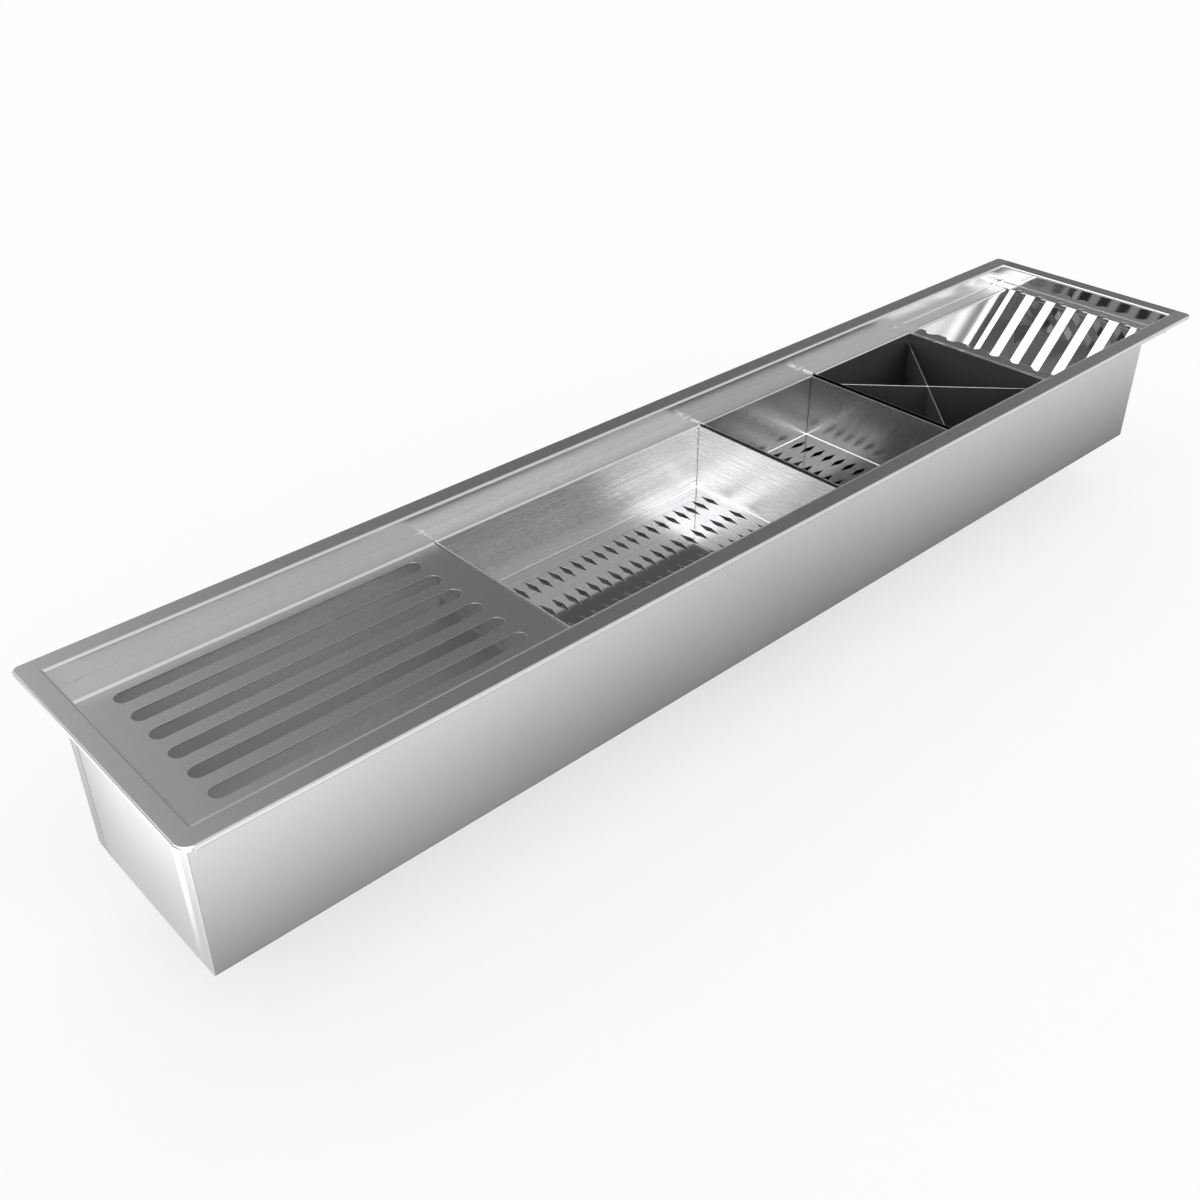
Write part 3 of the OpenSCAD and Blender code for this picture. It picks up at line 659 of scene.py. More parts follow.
@dataclass
class Blank:
    """A flat piece of sheet, before it is folded: its outline and holes in (u, v)."""

    outline: Loop
    thickness: float
    holes: list[Loop] = field(default_factory=list)

    def surface(self, stations: np.ndarray = np.empty(0), rows: np.ndarray = np.empty(0)) -> Surface:
        """Both faces and the rim of the sheet, in (u, v, w).

        The faces are the outline moved inwards by the edge radius e. The rim is carried
        round each loop: at angle a it stands e * cos a outwards, and e * (sin a - 1) from the face.

        Args:
            stations: Values of u at which the faces get a line of points, for the folds.
            rows: Values of v at which they do.

        Returns:
            A closed surface with w across the sheet.
        """
        half = self.thickness * MM / 2
        loops = []
        for loop in [self.outline, *self.holes]:
            points, normals, edges = loop.points, loop.normals, loop.edge
            step = np.roll(points, -1, 0) - points
            with np.errstate(divide="ignore", invalid="ignore"):
                share = np.concatenate([(stations[None, :] - points[:, :1]) / step[:, :1],
                                        (rows[None, :] - points[:, 1:]) / step[:, 1:]], 1)
            edge_at, where = np.nonzero((share > 1e-6) & (share < 1 - 1e-6))
            key = np.sort(np.append(np.arange(len(points)), edge_at + share[edge_at, where]))
            i, f = key.astype(int), (key % 1)[:, None]
            j = (i + 1) % len(points)
            mixed = normals[i] * (1 - f) + normals[j] * f
            loops.append((points[i] * (1 - f) + points[j] * f,
                          mixed / np.linalg.norm(mixed, axis=1)[:, None],
                          edges[i] * (1 - f[:, 0]) + edges[j] * f[:, 0]))
        base = [at - e[:, None] * out for at, out, e in loops]
        flat = np.concatenate(base)
        ends = np.cumsum([0] + [len(b) for b in base])
        ring = [np.stack([np.arange(a, z), np.append(np.arange(a + 1, z), a)], 1)
                for a, z in zip(ends[:-1], ends[1:])]
        low, high = flat.min(0) - half, flat.max(0) + half
        lines = np.concatenate([
            np.stack([np.repeat(stations, 2), np.tile([low[1], high[1]], len(stations))], 1),
            np.stack([np.tile([low[0], high[0]], len(rows)), np.repeat(rows, 2)], 1)])
        line_ends = len(flat) + np.arange(len(lines)).reshape(-1, 2)
        made = delaunay_2d_cdt([Vector(p) for p in np.concatenate([flat, lines])],
                               np.concatenate([*ring, line_ends]).tolist(), [], 0, 1e-9)
        at = np.array([v[:] for v in made[0]], float)
        for new, old in enumerate(made[3]):
            if old and old[0] < len(flat):
                at[new] = flat[old[0]]
        faces = np.array(made[2], int)
        faces = faces[self.inside(at[faces].mean(1), flat, np.concatenate(ring))]
        count = len(at)
        points = [np.column_stack([at, np.full(count, side * half)]) for side in (1, -1)]
        normals = [np.tile([[0.0, 0.0, side]], (count, 1)) for side in (1, -1)]
        all_faces = faces.tolist() + (faces[:, ::-1] + count).tolist()
        begin = 2 * count
        a = np.radians([90, 60, 30, 0, 0, -30, -60, -90])[:, None]
        turns = len(a)
        top = np.sign(turns / 2 - 0.5 - np.arange(turns))[:, None]
        for (_, out, e), inner in zip(loops, base):
            n = len(e)
            spread = inner[None] + (e * np.cos(a))[:, :, None] * out[None]
            lift = top * (half - e) + e * np.sin(a)
            points.append(np.concatenate([spread, lift[:, :, None]], 2).reshape(-1, 3))
            tilt = np.broadcast_to(np.sin(a)[:, :, None], (turns, n, 1))
            normals.append(np.concatenate([np.cos(a)[:, :, None] * out[None], tilt], 2).reshape(-1, 3))
            i = begin + np.arange(turns * n).reshape(turns, n)
            after = np.roll(i, -1, 1)
            all_faces += np.stack([i[:-1], i[1:], after[1:], after[:-1]], -1).reshape(-1, 4).tolist()
            begin += turns * n
        return merged(Surface(np.concatenate(points), np.concatenate(normals), all_faces))

    @staticmethod
    def inside(spots: np.ndarray, points: np.ndarray, edges: np.ndarray) -> np.ndarray:
        """Whether each spot is in the sheet: a line from it crosses the edges an odd number of times.

        Args:
            spots: Places in (u, v).
            points: Points of the outline and the holes.
            edges: Pairs of their numbers.

        Returns:
            True or False for each spot.
        """
        a, b = points[edges[:, 0]], points[edges[:, 1]]
        x, y = spots[:, :1], spots[:, 1:]
        over = (a[:, 1] > y) != (b[:, 1] > y)
        rise = np.where(a[:, 1] == b[:, 1], 1, b[:, 1] - a[:, 1])
        return (over & (x < a[:, 0] + (y - a[:, 1]) * (b[:, 0] - a[:, 0]) / rise)).sum(1) % 2 == 1

    def folded(self, path: FoldedPath, axes: Sequence, relief: Optional[Pressing | WeldLines] = None,
               origin: Sequence = (0, 0, 0)) -> Surface:
        """Folds the sheet along a path: u runs along the path, v across it and w off its left side.

        Args:
            path: The middle line, drawn in the plane of the first two axes.
            axes: The path's two axes, and the axis of v.
            relief: What is pressed into the sheet, towards +w.
            origin: Where the path's plane and v start, in metres.

        Returns:
            The folded surface in the model's frame.
        """
        if relief is None:
            flat = self.surface(path.stations)
        else:
            along, across = relief.lines()
            flat = self.surface(np.concatenate([path.stations, along]), across)
            u, v = flat.points[:, 0], flat.points[:, 1]
            step = 1e-6
            rise = np.column_stack([relief.height(u + step, v) - relief.height(u - step, v),
                                    relief.height(u, v + step) - relief.height(u, v - step)]) / (2 * step)
            flat.normals[:, :2] -= flat.normals[:, 2:] * rise
            flat.normals /= np.linalg.norm(flat.normals, axis=1)[:, None]
            flat.points[:, 2] += relief.height(u, v)
        at, ahead, left = path.place(flat.points[:, 0])
        w, n = flat.points[:, 2:], flat.normals
        spot = np.column_stack([at + w * left, flat.points[:, 1]])
        facing = np.column_stack([n[:, :1] * ahead + n[:, 2:] * left, n[:, 1]])
        # the axes stand for (u, w, v), which turns the faces round
        return Surface(spot, facing, [f[::-1] for f in flat.faces]).placed(axes, origin)


def merged(surface: Surface) -> Surface:
    """The same surface with points that coincide made one, and their normals averaged.

    Args:
        surface: A surface whose faces may not share their points yet.

    Returns:
        The surface, without the faces that have shrunk to a line.
    """
    _, first, where = np.unique(np.round(surface.points, 9), axis=0, return_index=True, return_inverse=True)
    where = where.ravel()
    total = np.zeros((len(first), 3))
    np.add.at(total, where, surface.normals)
    faces = [tuple(dict.fromkeys(int(v) for v in where[list(f)])) for f in surface.faces]
    return Surface(surface.points[first], total / np.maximum(np.linalg.norm(total, axis=1), 1e-9)[:, None],
                   [f for f in faces if len(f) > 2])


def new_object(name: str, data: Mesh | Camera) -> Object:
    """Puts a mesh or a camera into the scene.

    Args:
        name: The object's name.
        data: The mesh or the camera.

    Returns:
        The new object.
    """
    made = bpy.data.objects.new(name, data)
    bpy.context.scene.collection.objects.link(made)
    return made


def add_piece(name: str, surface: Surface, body: str, nodes: Sequence[str],
              finish: Material) -> None:
    """Puts a surface into the scene as one piece that stands for CAD nodes.

    Args:
        name: The piece's name.
        surface: Its mesh, in the model's frame.
        body: The CAD body that it rides on.
        nodes: The CAD nodes that it replaces.
        finish: Its material.
    """
    mesh = bpy.data.meshes.new(name)
    mesh.from_pydata(surface.points.tolist(), [], surface.faces)
    mesh.polygons.foreach_set("use_smooth", np.ones(len(mesh.polygons), bool))
    mesh.validate()
    mesh.normals_split_custom_set_from_vertices(surface.normals.tolist())
    mesh.materials.append(finish)
    piece = new_object(name, mesh)
    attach(piece, body)
    for node in nodes:
        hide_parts(node)
    LOG.info("%s: %d points, box %s to %s mm, in place of %s", name, len(surface.points),
             np.round(surface.points.min(0) / MM, 2), np.round(surface.points.max(0) / MM, 2), list(nodes))


def dress(node: str, finish: Material) -> None:
    """Gives a CAD node its finish, and smooths its folds while its cut edges stay crisp.

    Args:
        node: Name of the CAD node.
        finish: Its material.
    """
    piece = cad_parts[node]
    faces = piece.data.polygons
    faces.foreach_set("use_smooth", np.ones(len(faces), bool))
    weld = piece.modifiers.new("Weld", "WELD")
    weld.merge_threshold = 1e-6
    split = piece.modifiers.new("Crisp edges", "EDGE_SPLIT")
    split.split_angle = math.radians(30)
    piece.data.materials.clear()
    piece.data.materials.append(finish)
    LOG.info("%s: %s", node, finish.name)


YZ_ALONG_X = ((0, 1, 0), (0, 0, 1), (1, 0, 0))
XZ_ALONG_Y = ((1, 0, 0), (0, 0, 1), (0, 1, 0))
XY_UP = ((1, 0, 0), (0, 1, 0), (0, 0, 1))


@dataclass
class Trough:
    """The welded trough: a folded channel, round flange corners, and a cap at each end. In mm.

    The sheet's edges are broken by edge, and where two parts meet they are as sharp as the seam
    between them shows: seam, cap_seam, or hidden, which shows nothing.
    """

    half_length: float = 500.0
    half_width: float = 101.5
    open_x: float = 485.6
    open_y: float = 86.3
    sheet: float = 1.2
    bend: float = 1.0
    rim_bend: float = 0.05
    ledge_bend: float = 1.6
    top: float = 3.0
    ledge: float = -14.0
    under: float = -122.0
    channel_half: float = 70.8
    end_ledge: float = 8.3
    corner: float = 5.0
    front_left_corner: float = 9.0
    drain_hole: float = 56.0
    edge: float = 0.2
    seam: float = 0.1
    cap_seam: float = 0.2
    hidden: float = 0.01
    rim_run: float = 1.0
    ledge_share: float = 0.2
    foot_share: float = 0.57
    cover_start: float = 0.8
    panel_rise: float = 1.0
    panel_foot: float = 63.0
    panel_slope: float = 7.0
    panel_lead: float = 2.4
    panel_above: float = 3.4
    panel_under: float = 0.3
    weld_lines: tuple[float, ...] = (467.4, 470.8)
    weld_depth: float = 0.05
    weld_width: float = 0.5

    @property
    def fold_room(self) -> float:
        """How far the flange's fold reaches from the opening: its outside radius."""
        return self.bend + self.sheet

    def rim(self, out: float, inner: float) -> list[tuple[float, float]]:
        """Middle line of a flange, from the foot of its rim inwards. out and inner are its two faces."""
        mid = self.sheet / 2
        return [(out - mid, 0), (out - mid, self.top - mid), (inner, self.top - mid)]

    def flange_corner(self, radius: float, way_x: int, way_y: int) -> Surface:
        """A round corner of the flange, and the flange from there to the cap's.

        The rim's outline is carried along a path: its middle stays at the corner's centre while
        it turns a quarter, and then moves along Y.

        Args:
            radius: The corner's radius.
            way_x: 1 at the right end, and -1 at the left.
            way_y: 1 at the back, and -1 at the front.

        Returns:
            A closed surface.
        """
        mid = self.sheet / 2
        path = FoldedPath(self.rim(radius, 0), self.rim_bend, self.sheet)
        outline, facing = path.skin(self.sheet, self.edge)
        a = np.radians(np.linspace(90, 0, 13))
        out = np.stack([np.cos(a), np.sin(a)], 1)
        centre = np.array([self.half_length - radius, self.half_width - radius]) * MM
        last = np.array([[centre[0], (self.open_y + self.fold_room) * MM]])
        part = swept(outline, facing, np.concatenate([np.tile(centre, (len(a), 1)), last]),
                     np.concatenate([out, [[1.0, 0.0]]]))
        return part.placed(((way_x, 0, 0), (0, way_y, 0), (0, 0, 1)))

    def channel(self) -> Surface:
        """The channel: its path runs from the back flange's rim down, through the floor and up again.

        Returns:
            A closed surface. Its fold is mitred: |X| is at most open_x + max(|Y| - open_y, 0).
        """
        mid, wall, low = self.sheet / 2, self.open_y + self.sheet / 2, self.channel_half + self.sheet / 2
        half = self.rim(self.half_width, wall) + [(wall, self.ledge - mid), (low, self.ledge - mid),
                                                  (low, self.under + mid)]
        bends = [self.rim_bend, self.bend, self.ledge_bend, self.bend, self.bend]
        bends += bends[::-1]
        path = FoldedPath(half + [(-y, z) for y, z in half[::-1]], bends, self.sheet)
        end, inner = path.total / MM, path.fold(2)
        ledge, wall_foot = path.fold(3, self.ledge_share), path.fold(4, self.foot_share)
        open_x, mitre, step = self.open_x, self.open_x + self.fold_room, self.open_x - self.end_ledge
        e, s, h, run = self.edge, self.seam, self.hidden, self.rim_run
        # u, v and the edge's radius at the corners of one quarter of the sheet, from its rim inwards
        quarter, front_left = (
            [(0, reach - run, e), (0, reach, h), (inner, reach, h), (inner, mitre, h), (ledge, mitre, h),
             (ledge, open_x, s)]
            for reach in (self.half_length - self.corner, self.half_length - self.front_left_corner))
        corners = [(u, -v, r) for u, v, r in quarter] + [(end - u, -v, r) for u, v, r in front_left[::-1]]
        corners += [(end - u, v, r) for u, v, r in quarter] + [(end - wall_foot, open_x, s)]
        corners += [(end - wall_foot, step, s), (wall_foot, step, s), (wall_foot, open_x, s)]
        corners += quarter[::-1]
        at, edges = [c[:2] for c in corners], [c[2] for c in corners]
        blank = Blank(rounded_loop(at, edges, edges, 1), self.sheet,
                      [round_hole(end / 2, 0, self.drain_hole, self.edge, 64)])
        spans = tuple((path.fold(n, 1) + run, path.fold(n + 1) - run) for n in (4, 6))
        lines = WeldLines(self.weld_depth, self.weld_width, self.weld_lines, spans)
        made = blank.folded(path, YZ_ALONG_X, lines)
        x, y = made.points[:, 0], np.abs(made.points[:, 1])
        limit = (open_x + np.maximum(y / MM - self.open_y, 0)) * MM
        folded = y < (self.open_y + self.fold_room) * MM - 1e-7
        made.points[:, 0] = np.where(folded, np.clip(x, -limit, limit), x)
        return made

    def cap(self, way: int) -> Surface:
        """An end cap. Its path runs from its rim in, down and, towards +X, over the end ledge.

        The sides of its flange and upper wall are mitred: |Y| is no more than open_y + (|X| - open_x).

        Args:
            way: 1 for the right cap, and -1 for the left one.

        Returns:
            The cap's surface, with the right one's covers.
        """
        mid, wall = self.sheet / 2, self.open_x + self.sheet / 2
        foot = wall - self.end_ledge if way > 0 else wall
        line = self.rim(self.half_length, wall)
        bends = [self.rim_bend, self.bend]
        if way > 0:
            line += [(wall, self.ledge - mid), (foot, self.ledge - mid)]
            bends += [self.bend, self.bend]
        path = FoldedPath(line + [(foot, self.under)], bends, self.sheet)
        end = path.total / MM
        drop = end - abs(self.under - self.ledge)
        lower = self.channel_half + self.sheet
        mitre, r = self.open_y + self.fold_room, self.fold_room
        e, s, h = self.edge, self.cap_seam, self.hidden
        # u, |v|, the corner's radius and the edge's, down one side
        side = [(0, mitre - self.rim_run, e, e), (0, mitre, h, s)]
        if way > 0:
            turn, start = path.fold(3), path.fold(4, 1) + self.cover_start
            side += [(turn, mitre, s, s), (turn, self.channel_half, h, h), (start, self.channel_half, s, s),
                     (start, lower, s, s), (end, lower, r, e)]
        else:
            start = drop + self.sheet
            side += [(start, mitre, s, s), (start, lower, e, e), (end, lower, r, e)]
        loop = [(u, -v, radius, edge) for u, v, radius, edge in side] + side[::-1]
        at, radii, edges = [c[:2] for c in loop], [c[2] for c in loop], [c[3] for c in loop]
        blank = Blank(rounded_loop(at, radii, edges), self.sheet)
        relief = Pressing(self.panel_rise, self.panel_foot, self.panel_slope, drop + self.panel_above,
                          end - self.panel_under, self.panel_lead)
        made = blank.folded(path, ((way, 0, 0), (0, 0, 1), (0, 1, 0)), relief)
        if way > 0:
            made = joined([made, self.cover(1), self.cover(-1)])
        x, y = np.abs(made.points[:, 0]), made.points[:, 1]
        limit = (self.open_y + np.maximum(x / MM - self.open_x, 0)) * MM
        upper = made.points[:, 2] > (self.ledge - self.sheet) * MM - 1e-6
        made.points[:, 1] = np.where(upper, np.clip(y, -limit, limit), y)
        return made

    def cover(self, way: int) -> Surface:
        """The right cap's wall beside its ledge, which covers the end of a side ledge.

        Args:
            way: 1 for the back one, and -1 for the front one.

        Returns:
            A closed surface.
        """
        low, high = self.channel_half, self.open_y + self.fold_room
        bottom, top = self.ledge - self.sheet, self.ledge - self.sheet + self.fold_room
        spots = [(low, bottom), (high, bottom), (high, top), (low, top)]
        plate = Blank(rounded_loop(spots, self.hidden, self.hidden), self.sheet).surface()
        wall = (self.open_x + self.sheet / 2) * MM
        return plate.placed(((0, way, 0), (0, 0, 1), (1, 0, 0)), (wall, 0, 0))

    def build(self, finish: Material, bright: Material) -> None:
        """Adds the channel with its flange corners, and both caps. The right one is brighter.

        Args:
            finish: Material of the channel and the left cap.
            bright: Material of the right cap.
        """
        corners = [self.flange_corner(self.corner, x, y) for x, y in ((1, 1), (-1, 1), (1, -1))]
        corners.append(self.flange_corner(self.front_left_corner, -1, -1))
        add_piece("channel_sheet", joined([self.channel(), *corners]), "trough", ["trough_channel"],
                  finish)
        add_piece("left_end_sheet", self.cap(-1), "trough", ["left_end_cap"], finish)
        add_piece("right_end_sheet", self.cap(1), "trough", ["right_end_cap"], bright)


@dataclass
class Insert:
    """What every lift-out insert shares: its sheet, and its lips' reach and height. In mm."""

    sheet: float = 1.0
    bend: float = 0.6
    edge: float = 0.15
    lip_half: float = 85.6
    lip_mid: float = -13.4
    lip_corner: float = 4.0
    cut_corner: float = 0.3
    wall_half: float = 68.8

    def rectangle(self, path: FoldedPath, low: float, high: float, corner: Sequence | float) -> Loop:
        """The outline of a plain sheet as long as its path, from low to high across it."""
        end = path.total / MM
        return rounded_loop([(0, low), (end, low), (end, high), (0, high)], corner, self.edge)


@dataclass
class SlottedRack(Insert):
    """A rack with a row of long slots, which run along the trough. In mm."""

    slot_count: int = 6
    slot_pitch: float = 22.0
    slot_width: float = 11.5

    def slots(self, path: FoldedPath, low: float, high: float, across: bool) -> list[Loop]:
        """The slots from X = low to X = high on the flat sheet.

        Args:
            path: The sheet's path.
            low: Where the slots start.
            high: Where they end.
            across: Whether the path runs across the trough, and not along it.

        Returns:
            One hole for each slot.
        """
        holes = []
        for row in (np.arange(self.slot_count) - (self.slot_count - 1) / 2) * self.slot_pitch:
            x, y = slot_hole(low, high, row, self.slot_width).T * MM
            spots = [path.along(y), x] if across else [path.along(x), y]
            holes.append(smooth_loop(np.stack(spots, 1), self.edge))
        return holes


@dataclass
class PlateRack(SlottedRack):
    """Flat sheet with a row of long slots, and a shallow joggle along both lips. In mm."""

    left: float = -484.5
    length: float = 263.0
    joggle: float = 1.5
    margin: float = 22.75

    def surface(self) -> Surface:
        """The folded sheet: its path runs across the trough.

        Returns:
            A closed surface.
        """
        foot, lip = self.wall_half + self.sheet - self.joggle, self.lip_mid
        half = [(self.lip_half, lip), (foot + self.joggle, lip), (foot, lip - self.joggle)]
        path = FoldedPath(half + [(-y, z) for y, z in half[::-1]], self.bend, self.sheet)
        right = self.left + self.length
        blank = Blank(self.rectangle(path, self.left, right, self.lip_corner), self.sheet,
                      self.slots(path, self.left + self.margin, right - self.margin, True))
        return blank.folded(path, YZ_ALONG_X)

    def build(self, finish: Material) -> None:
        """Adds the rack to the scene."""
        add_piece("plate_rack_sheet", self.surface(), "plate_rack", ["plate_rack"], finish)


def rows_of(middle: float, size: float, clear: float, pitch: float) -> np.ndarray:
    """Places of as many holes as fit in a clear length: 1 + floor((clear - size) / pitch) of them."""
    count = 1 + int((clear - size) // pitch)
    return middle + (np.arange(count) - (count - 1) / 2) * pitch


@dataclass
class Basket(Insert):
    """Hanging basket: two walls with lips, two end walls between them and a floor plate. In mm."""

    name: str = "glass_tray"
    nodes: tuple[str, str] = ("glass_tray_walls", "glass_tray_floor")
    slots: tuple[str, str] = ("basket_steel", "floor_steel")
    left: float = -220.5
    length: float = 260.0
    under: float = -70.0
    return_width: float = 5.0
    plate_gap: float = 0.7
    bead: float = 0.8
    bead_sink: float = 0.2
    corner_gap: float = 0.3
    hole_size: tuple[float, float] = (5.5, 20.9)
    hole_pitch: tuple[float, float] = (10.9, 29.8)
    holes: HoleShape = HoleShape.DIAMOND

    @property
    def middle(self) -> float:
        """Where the basket's middle lies along the trough."""
        return self.left + self.length / 2

    def side(self, way: int) -> Surface:
        """A long wall with its lip and its return.

        Args:
            way: 1 for the back wall, and -1 for the front one.

        Returns:
            A closed surface.
        """
        mid = self.sheet / 2
        wall = self.wall_half + mid
        path = FoldedPath([(self.lip_half, self.lip_mid), (wall, self.lip_mid), (wall, self.under + mid),
                           (self.wall_half - self.return_width, self.under + mid)], self.bend, self.sheet)
        corners = (self.lip_corner, self.cut_corner, self.cut_corner, self.lip_corner)
        blank = Blank(self.rectangle(path, self.left, self.left + self.length, corners), self.sheet)
        return blank.folded(path, ((0, way, 0), (0, 0, 1), (1, 0, 0)))

    def end(self, way: int) -> Surface:
        """An end wall with its return, between the long walls.

        Args:
            way: 1 for the right wall, and -1 for the left one.

        Returns:
            A closed surface.
        """
        mid = self.sheet / 2
        wall = self.length / 2 - mid
        path = FoldedPath([(wall, self.lip_mid), (wall, self.under + mid),
                           (self.length / 2 - self.return_width, self.under + mid)], self.bend, self.sheet)
        reach = self.wall_half - self.corner_gap
        blank = Blank(self.rectangle(path, -reach, reach, self.cut_corner), self.sheet)
        return blank.folded(path, ((way, 0, 0), (0, 0, 1), (0, 1, 0)), origin=(self.middle * MM, 0, 0))

    def walls(self) -> Surface:
        """All four walls."""
        return joined([self.side(1), self.side(-1), self.end(1), self.end(-1)])

    def hole(self, x: float, y: float) -> Loop:
        """One drain hole of the floor plate: a diamond, or a circle.

        Args:
            x: Where its middle is along the trough.
            y: Where it is across the trough.

        Returns:
            Its outline.
        """
        if self.holes is HoleShape.ROUND:
            return round_hole(x, y, self.hole_size[0], self.edge)
        long, wide = self.hole_size[0] / 2, self.hole_size[1] / 2
        tips = [(x + long, y), (x, y - wide), (x - long, y), (x, y + wide)]
        return rounded_loop(tips, self.edge, self.edge, 3)

    def floor(self) -> Surface:
        """The floor plate with its rows of holes.

        Returns:
            A closed surface.
        """
        gap = self.sheet + self.plate_gap
        x0, x1 = self.left + gap, self.left + self.length - gap
        y1 = self.wall_half - self.plate_gap
        outline = rounded_loop([(x0, -y1), (x1, -y1), (x1, y1), (x0, y1)], self.cut_corner, self.edge)
        xs = rows_of(self.middle, self.hole_size[0], self.length - 2 * (self.return_width + self.sheet),
                     self.hole_pitch[0])
        ys = rows_of(0, self.hole_size[1], 2 * (self.wall_half - self.return_width), self.hole_pitch[1])
        blank = Blank(outline, self.sheet, [self.hole(x, y) for x in xs for y in ys])
        return blank.surface().placed(XY_UP, (0, 0, (self.under + 1.5 * self.sheet) * MM))

    def beads(self) -> Surface:
        """Weld beads round the floor. Each is hollow: a quarter of a circle from wall to plate.

        At angle a from the plate to the wall, a bead's surface is at r = -b + b * sin a from the
        wall and at height b - b * cos a over the plate, where b is its size.

        Returns:
            Four closed surfaces in one.
        """
        b, low = self.bead * MM, -self.bead_sink * MM
        a = np.radians(np.linspace(0, 90, 9))
        turn = np.stack([np.sin(a), -np.cos(a)], 1)
        outline = np.concatenate([(-b, b) + b * turn, [[0, low], [-b, low]]])
        facing = np.concatenate([-turn, [[0.7, -0.7], [-0.7, -0.7]]])
        outline[:, 1] += (self.under + 2 * self.sheet) * MM
        x, y = (self.length / 2 - self.sheet) * MM, self.wall_half * MM
        made = []
        for out, ends in (((0, 1), ((-x, y), (x, y))), ((0, -1), ((-x, -y), (x, -y))),
                          ((1, 0), ((x, -y), (x, y))), ((-1, 0), ((-x, -y), (-x, y)))):
            centres = np.array(ends) + (self.middle * MM, 0)
            made.append(swept(outline, facing, centres, np.array([out, out], float)))
        return joined(made)

    def build(self, walls: Material, floor: Material, beads: Material) -> None:
        """Adds the walls and the floor, in place of two CAD nodes, and the weld beads.

        Args:
            walls: Material of the four walls.
            floor: Material of the floor plate.
            beads: Material of the beads.
        """
        for part, surface, node, finish, slot in (
                ("wall_sheets", self.walls(), self.nodes[:1], walls, self.slots[0]),
                ("floor_plate", self.floor(), self.nodes[1:], floor, self.slots[1]),
                ("weld_beads", self.beads(), (), beads, self.slots[1])):
            add_piece(f"{self.name}_{part}", surface, self.name, node, finish)


@dataclass
class CutleryBox(Basket):
    """The deep box, with two dividers that cross corner to corner and slide into each other. In mm."""

    name: str = "cutlery_box"
    nodes: tuple[str, str] = ("cutlery_box", "cutlery_floor")
    slots: tuple[str, str] = ("dark_steel", "dark_steel")
    left: float = 181.5
    length: float = 133.0
    under: float = -114.8
    hole_size: tuple[float, float] = (6.0, 6.0)
    hole_pitch: tuple[float, float] = (18.0, 18.0)
    holes: HoleShape = HoleShape.ROUND
    divider_low: float = -112.7
    divider_height: float = 90.8
    divider_half: float = 94.17
    slit: float = 1.6

    def divider(self, way: int) -> Surface:
        """One divider. The first is slit from its top to half its height, and the other from below.

        Args:
            way: 1 for divider a, and -1 for divider b.

        Returns:
            A closed surface.
        """
        w, h, s = self.divider_half, self.divider_height, self.slit / 2
        if way > 0:
            corners = [(-w, 0), (w, 0), (w, h), (s, h), (s, h / 2), (-s, h / 2), (-s, h), (-w, h)]
        else:
            corners = [(-w, 0), (-s, 0), (-s, h / 2), (s, h / 2), (s, 0), (w, 0), (w, h), (-w, h)]
        flat = Blank(rounded_loop(corners, self.cut_corner, self.edge), self.sheet).surface()
        turn = way * math.atan2(self.wall_half, self.length / 2 - self.sheet)
        c, n = math.cos(turn), math.sin(turn)
        foot = (self.middle * MM, 0, self.divider_low * MM)
        return flat.placed(((c, n, 0), (0, 0, 1), (n, -c, 0)), foot)

    def build_dividers(self, finish: Material) -> None:
        """Adds both dividers to the scene.

        Args:
            finish: Their material.
        """
        for way, letter in ((1, "a"), (-1, "b")):
            add_piece(f"divider_{letter}_sheet", self.divider(way), f"divider_{letter}",
                      [f"divider_{letter}"], finish)


@dataclass
class SaucerRack(SlottedRack):
    """V-shaped rack: two strips over the ledges, and slots from strip to strip through the V. In mm."""

    left: float = 315.5
    length: float = 169.0
    left_strip: float = 13.0
    right_strip: float = 11.5
    slope: float = 44.0
    half: float = 66.9
    slot_over: float = 4.5
    slot_width: float = 12.6

    def surface(self) -> Surface:
        """The folded sheet: its path runs along the trough, down and up the V.

        Returns:
            A closed surface.
        """
        right = self.left + self.length
        x0, x1 = self.left + self.left_strip, right - self.right_strip
        low = self.lip_mid - (x1 - x0) / 2 * math.tan(math.radians(self.slope))
        path = FoldedPath([(self.left, self.lip_mid), (x0, self.lip_mid), ((x0 + x1) / 2, low),
                           (x1, self.lip_mid), (right, self.lip_mid)], self.bend, self.sheet)
        inner, outer = path.along(np.array([x0 - self.sheet, x1 + self.sheet]) * MM) / MM
        end, lip, half = path.total / MM, self.lip_half, self.half
        corners = [(0, -lip), (inner, -lip), (inner, -half), (outer, -half), (outer, -lip), (end, -lip),
                   (end, lip), (outer, lip), (outer, half), (inner, half), (inner, lip), (0, lip)]
        rounded, crisp = self.lip_corner, self.cut_corner
        radius = [rounded, rounded, crisp, crisp, rounded, rounded] * 2
        blank = Blank(rounded_loop(corners, radius, self.edge), self.sheet,
                      self.slots(path, x0 - self.slot_over, x1 + self.slot_over, False))
        return blank.folded(path, XZ_ALONG_Y)

    def build(self, finish: Material) -> None:
        """Adds the rack to the scene."""
        add_piece("saucer_rack_sheet", self.surface(), "saucer_rack", ["v_rack"], finish)


@dataclass(frozen=True)
class SkyPatch:
    """A soft-edged round patch of the studio's surroundings, which the metal reflects.

    azimuth is from +Y towards +X and elevation above the horizon, in degrees. level is the
    light that the patch gives, where 1 is white.
    """

    azimuth: float
    elevation: float
    inner: float
    outer: float
    level: float

    def direction(self) -> Vector:
        """The unit vector towards the patch's middle."""
        a, e = math.radians(self.azimuth), math.radians(self.elevation)
        return Vector((math.sin(a) * math.cos(e), math.cos(a) * math.cos(e), math.sin(e)))


@dataclass(frozen=True)
class Ramp:
    """A level that goes from low to high as a place on the floor goes from start to stop, in metres."""

    start: float
    stop: float
    low: float
    high: float
    smooth: bool = False


